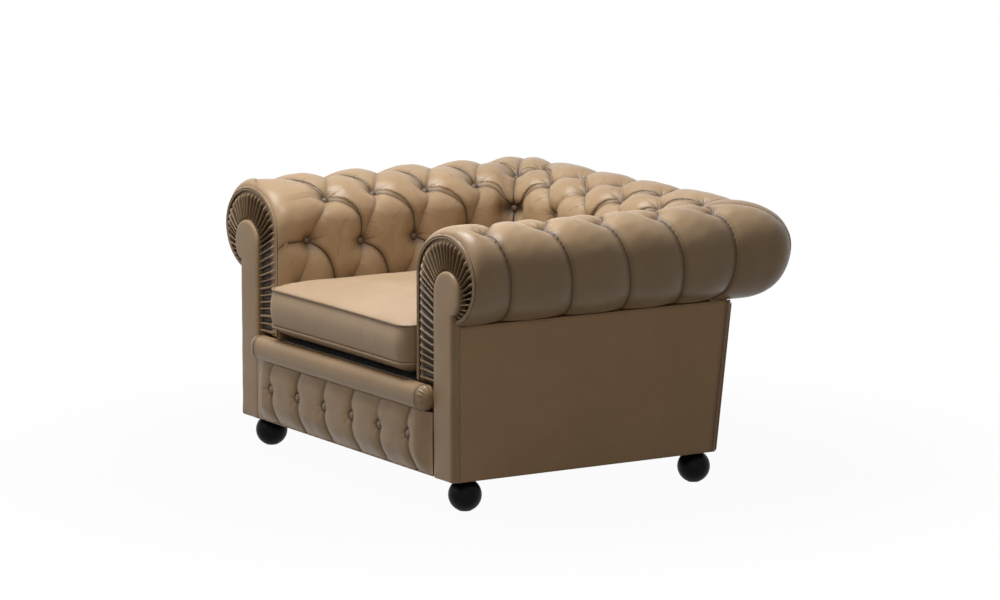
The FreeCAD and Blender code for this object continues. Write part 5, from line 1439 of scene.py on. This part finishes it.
@dataclass
class SeatFront:
    """The rounded roll under the cushion and the buttoned panel below it."""

    half: float = 0.4415
    nose: float = -0.500
    rear: float = -0.4465
    roll_low: float = 0.2405
    roll_high: float = 0.304
    cap: float = 0.030
    panel_low: float = 0.0825
    panel_high: float = 0.2392
    belly: float = -0.490
    tuck: float = -0.466
    top: float = -0.480
    button_pitch: float = 0.138
    button_height: float = 0.174
    dome: Dome = Dome(radius=0.0098, height=0.0062)
    pleat_reach: float = 0.050
    pleat_deep: float = 0.0125
    pleat_force: tuple[float, ...] = (0.55, 1.0, 0.8, 1.0, 0.45, 0.9)
    dimple: float = 0.0060
    dimple_reach: float = 0.016

    def build_roll(self, finishes: Finishes) -> None:
        """The roll: a flattened tube whose ends are drawn in to gathered caps.

        A section is a superellipse of power 2.5; towards an end it shrinks as the root of 1
        less the squared distance into the cap, and shallow gathers run into the cap.
        """
        inner = self.half - self.cap
        arc = np.sin(np.linspace(0.0, math.pi / 2.0, 22))[1:] * self.cap
        right = inner + arc
        x = np.concatenate([-right[::-1], np.linspace(-inner, inner, 220), right])
        angle = np.linspace(0.0, math.tau, 120, endpoint=False)
        power = 2.0 / 2.5
        across = np.sign(np.cos(angle)) * np.abs(np.cos(angle)) ** power
        up = np.sign(np.sin(angle)) * np.abs(np.sin(angle)) ** power
        middle_y, middle_z = (self.nose + self.rear) / 2.0, (self.roll_low + self.roll_high) / 2.0
        into = np.clip((np.abs(x) - inner) / self.cap, 0.0, 1.0)
        size = np.sqrt(np.clip(1.0 - into ** 2, 0.0, 1.0)) * 0.96 + 0.04 * (into < 1.0)
        size = np.where(into > 0.0, size, 1.0)
        half_y, half_z = (self.rear - self.nose) / 2.0, (self.roll_high - self.roll_low) / 2.0
        gather = 1.0 + 0.035 * np.sin(angle * 16.0)[None] * (smooth(into, 0.05, 0.5)
                                                            * (1 - smooth(into, 0.7, 1.0)))[:, None]
        seam = np.exp(-((np.abs(x) - inner + 0.004) / 0.0014) ** 2)
        size = size * (1.0 - 0.035 * seam)
        wave = 1.0 + 0.010 * ripple(np.stack([x, x * 0, x * 0], axis=1), 0.16, 3)
        points = np.stack([
            np.broadcast_to(x[:, None], (len(x), len(angle))),
            middle_y + half_y * across[None] * (size[:, None] * gather),
            middle_z + half_z * up[None] * (size * np.minimum(wave, 1.0))[:, None] * gather,
        ], axis=-1)
        tips = np.array([[-self.half, middle_y, middle_z], [self.half, middle_y, middle_z]])
        form = capped(points, tips)
        fold = np.zeros(form.points.shape)
        fold[:, 0] = 0.05
        fold[:-2, 0] = np.repeat(np.abs(x) - inner + 0.004, len(angle))
        fold[:-2, 1] = 0.85
        form.values["fold"] = fold
        roll = piece("seat_roll", form, finishes.hide, CHAIR, ("front_roll",))

    def panel_profile(self, height: np.ndarray) -> np.ndarray:
        """The panel's front face without buttons: a belly between its tucked edges."""
        low = 1.0 - (1.0 - np.clip((height - self.panel_low) / 0.062, 0.0, 1.0)) ** 2.2
        high = 1.0 - (1.0 - np.clip((self.panel_high - height) / 0.045, 0.0, 1.0)) ** 2.0
        lower = self.tuck + (self.belly - self.tuck) * low
        return lower + (self.top - self.belly) * (1.0 - high)

    def build_panel(self, finishes: Finishes) -> None:
        """The panel: a grid over width and height, its depth from the profile less the folds."""
        x = np.linspace(-self.half, self.half, 393)
        z = np.linspace(self.panel_low, self.panel_high, 84)
        grid_x, grid_z = np.meshgrid(x, z, indexing="ij")
        base = self.panel_profile(grid_z)
        fullness = np.ones(grid_x.shape)
        distance = np.full(grid_x.shape, 0.05)
        strength = np.zeros(grid_x.shape)
        hollow = np.zeros(grid_x.shape)
        shade = np.zeros(grid_x.shape)
        rng = np.random.default_rng(17)
        spot = np.zeros((*grid_x.shape, 3)) + 0.1
        for k in range(6):
            centre = (k - 2.5) * self.button_pitch
            sway, lean = rng.uniform(0.001, 0.004), rng.uniform(0.014, 0.022)
            above = smooth(grid_z, self.button_height, self.panel_high)
            below = 1.0 - smooth(grid_z, self.panel_low, self.button_height)
            line = centre - sway * np.sin(above * math.pi * 1.1) + lean * below ** 1.6
            away = grid_x - line
            force = np.where(grid_z > self.button_height, self.pleat_force[k], 1.0)
            soft = np.sqrt(away ** 2 + 0.0018 ** 2) - 0.0010
            rise = np.where(away > 0, 0.42, 0.56)
            left = 1.0 - np.clip(soft / self.pleat_reach, 0.0, 1.0)
            full = np.clip(1.0 - left ** 2, 1e-6, 1.0) ** rise
            fullness *= 1.0 - 0.85 * force * (1.0 - full)
            # distance and strength draw a painted shade line along each pleat in the material.
            closer = np.abs(away) < np.abs(distance)
            distance = np.where(closer, away, distance)
            strength = np.where(closer, force, strength)
            offset = np.hypot(grid_x - centre, grid_z - self.button_height)
            hollow += self.dimple * np.exp(-(offset / self.dimple_reach) ** 2)
            # Painted shade: a dark ring round each button's dimple.
            ring = np.exp(-((offset - 0.0115) / 0.0042) ** 2)
            shade = np.maximum(shade, 0.85 * ring)
            near = offset < 0.06
            spot[near, 0] = (grid_x - centre)[near]
            spot[near, 1] = (grid_z - self.button_height)[near]
            spot[near, 2] = 0.0
        flat = np.stack([grid_x, base, grid_z], axis=-1).reshape(-1, 3)
        calm = smooth(grid_z, self.panel_low, self.panel_low + 0.020) * 0.75 + 0.25
        ends = smooth(self.half - np.abs(grid_x), -0.004, 0.060)
        depth = (self.pleat_deep * (1.0 - fullness) + hollow) * calm
        depth += (1.0 - ends) * np.clip(self.tuck - base - 0.003, 0.0, 0.021)
        scallop = 0.0010 * np.sin(grid_x * math.tau / 0.031) * (1.0 - smooth(
            grid_z, self.panel_low, self.panel_low + 0.012))
        swell = ripple(flat, 0.09, 23).reshape(grid_x.shape) * 0.0006
        front = np.minimum(base + depth + swell - scallop, self.rear - 0.002)
        face = np.stack([grid_x, front, grid_z], axis=-1)
        back = face.copy()
        back[..., 1] = self.rear
        fold = np.stack([distance.ravel(), strength.ravel(), shade.ravel()], axis=1)
        zeros = np.zeros(fold.shape)
        form = slab(face, back)
        form.values["fold"] = np.concatenate([fold, zeros + (0.05, 0.0, 0.0)])
        form.values["spot"] = np.concatenate([spot.reshape(-1, 3), zeros + 0.1])
        panel = piece("buttoned_panel", form, finishes.hide, CHAIR, ("front_panel",))

    def build_buttons(self, finishes: Finishes) -> None:
        """Six covered buttons, nearly flush with the panel."""
        x = (np.arange(6) - 2.5) * self.button_pitch
        count = len(x)
        centres = np.stack([x, np.full(count, self.belly + 0.0098),
                            np.full(count, self.button_height)], axis=1)
        way = np.broadcast_to((1.0, 0.0, 0.0), (count, 3))
        rise = np.broadcast_to((0.0, 0.0, 1.0), (count, 3))
        outward = np.broadcast_to((0.0, -1.0, 0.0), (count, 3))
        form = self.dome.at(centres, way, rise, outward)
        piece("front_button_set", form, finishes.cord_hide, CHAIR, ("front_buttons",))

    def build_edging(self, finishes: Finishes) -> None:
        """A fine welt along the panel's lower edge."""
        x = np.linspace(-self.half + 0.002, self.half - 0.002, 300)
        path = np.stack([x, np.full(300, self.tuck - 0.0004),
                         np.full(300, self.panel_low + 0.0004)], axis=1)
        low = tube(path, 0.0016, (0.0, 0.0, 1.0), sides=10)
        piece("panel_welt", low, finishes.cord_hide, CHAIR)


# Cushion


@dataclass
class SeatCushion:
    """The loose seat cushion: crowned top, piped border, soft drooping belly.

    A point has an angle round the plan and a share out from the middle. The plan is a rounded
    rectangle whose sides pull in a little between their corners.
    """

    half: float = 0.3415
    front: float = -0.4885
    rear: float = 0.2395
    corner: float = 0.036
    pull: float = 0.0050
    seam_low: float = 0.342
    seam_high: float = 0.437
    top: float = 0.4705
    bottom: float = 0.3005
    bulge: float = 0.0042
    front_bulge: float = 0.0110
    cord: float = 0.0030

    def loop(self, count: int) -> np.ndarray:
        """The seam's plan: straight sides and round corners, with the sides pulled in."""
        radius = self.corner
        angle = np.linspace(0.0, math.pi / 2.0, 40)
        corners = []
        for k, (x, y) in enumerate(((self.half, self.rear), (-self.half, self.rear),
                                    (-self.half, self.front), (self.half, self.front))):
            middle = (x - math.copysign(radius, x),
                      y - (radius if k < 2 else -radius))
            turn = angle + k * math.pi / 2.0
            corners.append(np.stack([middle[0] + radius * np.cos(turn),
                                     middle[1] + radius * np.sin(turn), np.zeros(40)], axis=1))
        path = np.concatenate([*corners, corners[0][:1]])
        path = resampled(path, count + 1)[:-1]
        centre_y = (self.front + self.rear) / 2.0
        half_y = (self.rear - self.front) / 2.0
        on_x, on_y = path[:, 0] / self.half, (path[:, 1] - centre_y) / half_y
        path[:, 0] -= np.sign(on_x) * self.pull * np.clip(1.0 - on_y ** 2, 0.0, 1.0) \
            * smooth(np.abs(on_x), 0.85, 1.0)
        path[:, 1] -= np.sign(on_y) * self.pull * np.clip(1.0 - on_x ** 2, 0.0, 1.0) \
            * smooth(np.abs(on_y), 0.85, 1.0)
        return path

    def build(self, finishes: Finishes) -> None:
        """The cushion and its piping."""
        count = 560
        loop = self.loop(count)
        centre = np.array([0.0, (self.front + self.rear) / 2.0, 0.0])
        way = unit(np.roll(loop, -1, axis=0) - np.roll(loop, 1, axis=0))
        outward = np.cross(way, (0.0, 0.0, 1.0))
        rings = []
        out = np.concatenate([np.linspace(0.02, 0.86, 44), 0.86 + 0.14 * np.sin(
            np.linspace(0.0, math.pi / 2.0, 26))[1:]])
        spread = loop - centre
        crown = self.top - self.seam_high
        dents = ripple(loop, 0.16, 41) + 0.4 * ripple(loop, 0.05, 44)
        bulge = self.bulge + (self.front_bulge - self.bulge) * smooth(-outward[:, 1], 0.3, 0.95)
        for share in out:
            swell = crown * (1.0 - share ** 4.2) ** 0.72
            ring = centre + spread * share
            ripples = ripple(ring, 0.20, 42) * 0.0016 * (1.0 - share ** 6)
            fine = ripple(ring, 0.05, 43) * 0.0009 * share ** 3 * (1.0 - share ** 14)
            ring[:, 2] = self.seam_high + swell + ripples + fine
            rings.append(ring)
        steps = np.linspace(0.0, 1.0, 26)[1:-1]
        for share in steps:
            arch = math.sin(math.pi * share)
            ring = loop + outward * (bulge * arch ** 0.7 + 0.0012 * arch * dents)[:, None]
            ring[:, 2] = self.seam_high + (self.seam_low - self.seam_high) * share
            rings.append(ring)
        drop = self.seam_low - self.bottom
        for share in out[::-1]:
            ring = centre + spread * share
            ring[:, 2] = self.seam_low - drop * (1.0 - share ** 7.5) ** 0.75
            rings.append(ring)
        tips = np.array([[centre[0], centre[1], rings[0][0, 2]],
                         [centre[0], centre[1], rings[-1][0, 2]]])
        form = capped(np.stack(rings), tips)
        cushion = piece("cushion_cover", form, finishes.cushion_hide, CUSHION,
                        ("seat_cushion",))
        cords = []
        for height in (self.seam_low, self.seam_high):
            path = loop + outward * 0.0042
            path[:, 2] = height
            cords.append(tube(path, self.cord, (0.0, 0.0, 1.0), closed=True))
        piece("cushion_cord", joined(cords), finishes.cord_hide, CUSHION,
              ("cushion_piping",))


# Outer panels


@dataclass
class OuterPanels:
    """Plain leather of the outer sides and the back, with hand-sewn rear edges."""

    face: float = 0.530
    thick: float = 0.008
    front: float = -0.4455
    low: float = 0.078
    high: float = 0.4577
    rear_low: float = 0.298
    rear_high: float = 0.342
    seam_in: float = 0.012
    stitch_pitch: float = 0.0068
    edge: float = 0.004

    @property
    def slope(self) -> float:
        """How far the rear edge leans back for each metre up."""
        return (self.rear_high - self.rear_low) / (self.high - self.low)

    def build_side(self, side: Side, finishes: Finishes) -> None:
        """One side panel: a thin padded sheet with rounded edges and a faint undulation."""
        across = np.linspace(0.0, 1.0, 150)
        up = np.linspace(0.0, 1.0, 90)
        share_y, share_z = np.meshgrid(across, up, indexing="ij")
        z = self.low + (self.high - self.low) * share_z
        rear = self.rear_low + self.slope * (z - self.low)
        y = self.front + (rear - self.front) * share_y
        from_edge = np.minimum.reduce([y - self.front, rear - y, z - self.low, self.high - z])
        round_off = edge_drop(from_edge, self.edge)
        flat = np.stack([np.full(y.shape, self.face), y, z], axis=-1)
        wave = ripple(flat.reshape(-1, 3), 0.23, 51 + side.value).reshape(y.shape) * 0.0009
        seam = np.exp(-((rear - y - self.seam_in) / 0.0016) ** 2) * 0.0009
        x = self.face - round_off + np.minimum(wave, 0.0) - seam
        front = np.stack([x, y, z], axis=-1)
        back = front.copy()
        back[..., 0] = self.face - self.thick + 0.0002
        form = slab(front, back)
        fold = np.zeros(form.points.shape)
        fold[:, 0] = 0.05
        fold[:y.size, 0] = (rear - y - self.seam_in).ravel()
        fold[:y.size, 1] = 0.7
        form.values["fold"] = fold
        piece(f"outer_side_{side.word}", form.mirrored(side), finishes.panel_hide, CHAIR,
              (f"side_panel_{side.word}",))

    def build_stitches(self, side: Side, finishes: Finishes) -> None:
        """Slanting hand stitches across the seam near a side panel's rear edge."""
        z = np.arange(self.low + 0.012, self.high - 0.006, self.stitch_pitch)
        y = self.rear_low + self.slope * (z - self.low) - self.seam_in
        places = np.stack([np.full(len(z), self.face - 0.0002), y, z], axis=1)
        way = unit(np.array([0.0, 1.0, 0.35]))
        ways = np.broadcast_to(way, places.shape)
        outward = np.broadcast_to((1.0, 0.0, 0.0), places.shape)
        form = stitches(places, ways, outward, 0.0052, 0.00055)
        piece(f"rear_stitches_{side.word}", form.mirrored(side), finishes.thread, CHAIR)

    def build_rear(self, finishes: Finishes) -> None:
        """The outer back: a leaning sheet with a faint undulation."""
        low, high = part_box("rear_panel")
        half = high[0]
        x = np.linspace(-half, half, 180)
        z = np.linspace(0.0, 1.0, 80)
        grid_x, share = np.meshgrid(x, z, indexing="ij")
        tall = (self.high - self.low) / math.cos(math.atan(self.slope)) - 0.0015
        lean = unit(np.array([0.0, self.slope, 1.0]))
        out = np.array([0.0, lean[2], -lean[1]])
        from_edge = np.minimum.reduce([half - np.abs(grid_x), share * tall, (1.0 - share) * tall])
        round_off = edge_drop(from_edge, self.edge)
        base = (np.array([0.0, self.rear_low, self.low])
                + grid_x[..., None] * (1.0, 0.0, 0.0) + (share * tall)[..., None] * lean)
        wave = ripple(base.reshape(-1, 3), 0.30, 57).reshape(grid_x.shape) * 0.0010
        front = base + out * (np.minimum(wave, 0.0) - round_off)[..., None]
        back = base - out * (self.thick - 0.0002)
        piece("outer_back", slab(front, back), finishes.panel_hide, CHAIR,
              ("rear_panel",))

    def build_cord(self, side: Side, finishes: Finishes) -> None:
        """The cord down a side panel's rear edge."""
        low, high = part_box(f"rear_piping_{side.word}")
        x = abs(low[0] + high[0]) / 2.0
        radius = (high[0] - low[0]) / 2.0
        z = np.linspace(low[2] + radius, high[2] - radius, 90)
        y = np.interp(z, [z[0], z[-1]], [low[1] + radius, high[1] - radius])
        form = tube(np.stack([np.full(90, x), y, z], axis=1), radius, (1.0, 0.0, 0.0))
        piece(f"rear_cord_{side.word}", form.mirrored(side), finishes.cord_hide, CHAIR,
              (f"rear_piping_{side.word}",))


# Feet


@dataclass
class Feet:
    """Turned ball feet: a ball with a flat base and a narrow neck."""

    radius: float = 0.041
    centre: float = 0.039
    top: float = 0.078
    sides: int = 72

    def build(self, node: str, finishes: Finishes) -> None:
        """One foot, as a profile turned about its upright axis.

        The profile is a circle cut at both ends, with a small rounded edge at each cut.
        """
        low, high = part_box(node)
        middle = np.array([(low[0] + high[0]) / 2.0, (low[1] + high[1]) / 2.0, 0.0])
        start = -math.asin((self.centre - 0.0015) / self.radius)
        end = math.asin((self.top - self.centre - 0.0012) / self.radius)
        angle = np.linspace(start, end, 44)
        radius = self.radius * np.cos(angle)
        height = self.centre + self.radius * np.sin(angle)
        radius = np.concatenate([[radius[0] - 0.0035, radius[0] - 0.0012], radius,
                                 [radius[-1] - 0.0010, radius[-1] - 0.0030]])
        height = np.concatenate([[0.0, 0.0003], height, [self.top - 0.0003, self.top]])
        turn = np.linspace(0.0, math.tau, self.sides, endpoint=False)
        ring = np.stack([np.cos(turn), np.sin(turn), np.zeros(self.sides)], axis=1)
        points = middle + ring[None] * radius[:, None, None]
        points[..., 2] = height[:, None]
        tips = np.stack([middle, middle + (0.0, 0.0, self.top)])
        piece(node.replace("foot", "ball_foot"), capped(points, tips), finishes.lacquer, CHAIR,
              (node,))


# What the frame keeps of its own nodes


@dataclass
class HiddenFrame:
    """Finishes of the timber, springs, webbing and wadding, whose shapes are the frame's own."""

    def dress(self, finishes: Finishes) -> None:
        """Give every node that is still shown its material."""
        by_slot = {
            "frame_timber": finishes.timber,
            "spring_steel": finishes.steel,
            "webbing": finishes.jute,
            "wadding": finishes.wadding,
            "black_cloth": finishes.black,
            "leather": finishes.hide,
            "foot_lacquer": finishes.lacquer,
        }
        # The deck cloth is dressed in black as painted shade for the gap under the cushion.
        own = {"deck_cloth": finishes.black}
        for part in frame["record"]["subparts"]:
            name, slot = part["node"], part.get("material_slot")
            node = frame["nodes"][name]
            if node.hide_render:
                continue
            material = own.get(name, by_slot.get(slot, finishes.canvas))
            if "post" in name or "facing_board" in name:
                material = finishes.upright_timber
            node.data.materials.clear()
            node.data.materials.append(material)
            log.info("%s keeps its shape, in %s", name, material.name)


# Studio


@dataclass(frozen=True)
class Lamp:
    """A square soft lamp: where it stands, its side, its power in watts and its colour."""

    name: str
    place: Colour
    size: float
    power: float
    colour: Colour


@dataclass
class Studio:
    """A pale floor, soft light and the camera."""

    azimuth: float = 58.4018
    elevation: float = 9.3457
    place: Colour = (9.53345, -5.87108, 2.25526)
    lens: float = 160.53
    floor_size: float = 60.0
    aim: float = 0.4
    lamps: tuple[Lamp, ...] = (
        Lamp("top_lamp", (-0.45, -0.8, 2.9), 1.4, 84.0, (0.89, 0.94, 1.0)),
        Lamp("inner_lamp", (0.30, -0.40, 1.50), 0.40, 6.2, (0.95, 0.97, 1.0)),
        Lamp("front_lamp", (-1.0, -4.4, 2.4), 2.2, 27.0, (1.0, 0.94, 0.85)),
        Lamp("side_lamp", (4.8, -2.4, 2.2), 2.2, 17.0, (1.0, 0.93, 0.83)),
    )
    ambient: float = 0.13

    def build_floor(self) -> None:
        """A wide plain floor that looks white and keeps the chair's shadow."""
        nodes = Nodes("studio_floor")
        nodes.feed("Base Color", (0.26, 0.25, 0.24))
        nodes.feed("Roughness", 0.9)
        nodes.feed("Specular IOR Level", 0.1)
        corner = self.floor_size / 2.0
        mesh = bpy.data.meshes.new("studio_floor")
        mesh.from_pydata([(-corner, -corner, 0.0), (corner, -corner, 0.0),
                          (corner, corner, 0.0), (-corner, corner, 0.0)], [], [(0, 1, 2, 3)])
        mesh.materials.append(nodes.material)
        floor = bpy.data.objects.new("studio_floor", mesh)
        bpy.context.scene.collection.objects.link(floor)
        light = nodes.make("ShaderNodeEmission", {}, {"Color": (1.0, 1.0, 1.0), "Strength": 1.0},
                           "Emission")
        rays = nodes.tree.nodes.new("ShaderNodeLightPath")
        seen = Signal(nodes, rays.outputs["Is Camera Ray"]) + Signal(
            nodes, rays.outputs["Is Glossy Ray"]) + Signal(
            nodes, rays.outputs["Is Transmission Ray"])
        place = nodes.place()
        x, y, _ = nodes.parts(place)
        far = nodes.math("SQRT", x * x + y * y).step(0.75, 1.7)
        mix = nodes.tree.nodes.new("ShaderNodeMixShader")
        share = nodes.math("MINIMUM", seen, 1.0) * (0.96 + far * 0.04)
        nodes.join(share, mix.inputs[0])
        nodes.tree.links.new(nodes.shader.outputs[0], mix.inputs[1])
        nodes.tree.links.new(light.socket, mix.inputs[2])
        nodes.tree.links.new(mix.outputs[0], nodes.output.inputs["Surface"])

    def build_world(self) -> None:
        """White to the camera and in reflections, a dim grey as light."""
        world = bpy.data.worlds.new("studio")
        bpy.context.scene.world = world
        world.use_nodes = True
        tree = world.node_tree
        tree.nodes.clear()
        output = tree.nodes.new("ShaderNodeOutputWorld")
        light = tree.nodes.new("ShaderNodeBackground")
        white = tree.nodes.new("ShaderNodeBackground")
        light.inputs["Color"].default_value = (1.0, 0.98, 0.955, 1.0)
        light.inputs["Strength"].default_value = self.ambient
        white.inputs["Color"].default_value = (1.0, 1.0, 1.0, 1.0)
        white.inputs["Strength"].default_value = 1.0
        rays = tree.nodes.new("ShaderNodeLightPath")
        mix = tree.nodes.new("ShaderNodeMixShader")
        total = rays.outputs["Is Camera Ray"]
        for extra in ("Is Glossy Ray", "Is Transmission Ray"):
            add = tree.nodes.new("ShaderNodeMath")
            add.use_clamp = True
            tree.links.new(total, add.inputs[0])
            tree.links.new(rays.outputs[extra], add.inputs[1])
            total = add.outputs[0]
        tree.links.new(total, mix.inputs[0])
        tree.links.new(light.outputs[0], mix.inputs[1])
        tree.links.new(white.outputs[0], mix.inputs[2])
        tree.links.new(mix.outputs[0], output.inputs["Surface"])

    def build_lamp(self, lamp: Lamp) -> None:
        """A lamp that faces the middle of the chair."""
        light = bpy.data.lights.new(lamp.name, "AREA")
        light.shape = "SQUARE"
        light.size = lamp.size
        light.energy = lamp.power
        light.color = lamp.colour
        holder = bpy.data.objects.new(lamp.name, light)
        place = lamp.place
        back = unit(np.array(place) - (0.0, 0.0, self.aim))
        right = unit(np.cross((0.0, 0.0, 1.0), back))
        up = np.cross(back, right)
        holder.matrix_world = Matrix((
            (right[0], up[0], back[0], place[0]), (right[1], up[1], back[1], place[1]),
            (right[2], up[2], back[2], place[2]), (0.0, 0.0, 0.0, 1.0)))
        bpy.context.scene.collection.objects.link(holder)

    def build_camera(self) -> None:
        """The camera of the photograph: its place, its direction and its lens."""
        camera = bpy.data.cameras.new("camera")
        camera.lens = self.lens
        camera.sensor_width = 36.0
        camera.clip_end = 200.0
        holder = bpy.data.objects.new("camera", camera)
        a, e = math.radians(self.azimuth), math.radians(self.elevation)
        back = np.array([math.sin(a) * math.cos(e), -math.cos(a) * math.cos(e), math.sin(e)])
        right = np.array([math.cos(a), math.sin(a), 0.0])
        up = np.cross(back, right)
        holder.matrix_world = Matrix([[*row] for row in np.block([
            [right[:, None], up[:, None], back[:, None], np.array(self.place)[:, None]],
            [np.zeros((1, 3)), np.ones((1, 1))]])])
        bpy.context.scene.collection.objects.link(holder)
        bpy.context.scene.camera = holder

    def build(self) -> None:
        """The floor, the light and the camera."""
        bpy.context.scene.view_settings.view_transform = "Standard"
        self.build_floor()
        self.build_world()
        for lamp in self.lamps:
            self.build_lamp(lamp)
        self.build_camera()
        log.info("studio ready")


def main() -> None:
    """Build every sub-assembly in order."""
    logging.basicConfig(level=logging.INFO, format="%(name)s: %(message)s")
    finishes = Finishes.made()
    upholstery = Upholstery()
    facing = Facing()
    panels = OuterPanels()
    feet = Feet()
    for side in Side:
        upholstery.build_arm(side, finishes)
        facing.build_band(side, finishes)
        facing.build_post(side, finishes)
        facing.build_piping(side, finishes)
        panels.build_side(side, finishes)
        panels.build_stitches(side, finishes)
        panels.build_cord(side, finishes)
        for end in ("front", "rear"):
            feet.build(f"foot_{end}_{side.word}", finishes)
    upholstery.build_back(finishes)
    panels.build_rear(finishes)
    front = SeatFront()
    front.build_roll(finishes)
    front.build_panel(finishes)
    front.build_buttons(finishes)
    front.build_edging(finishes)
    SeatCushion().build(finishes)
    HiddenFrame().dress(finishes)
    Studio().build()


if __name__ == "__main__":
    main()
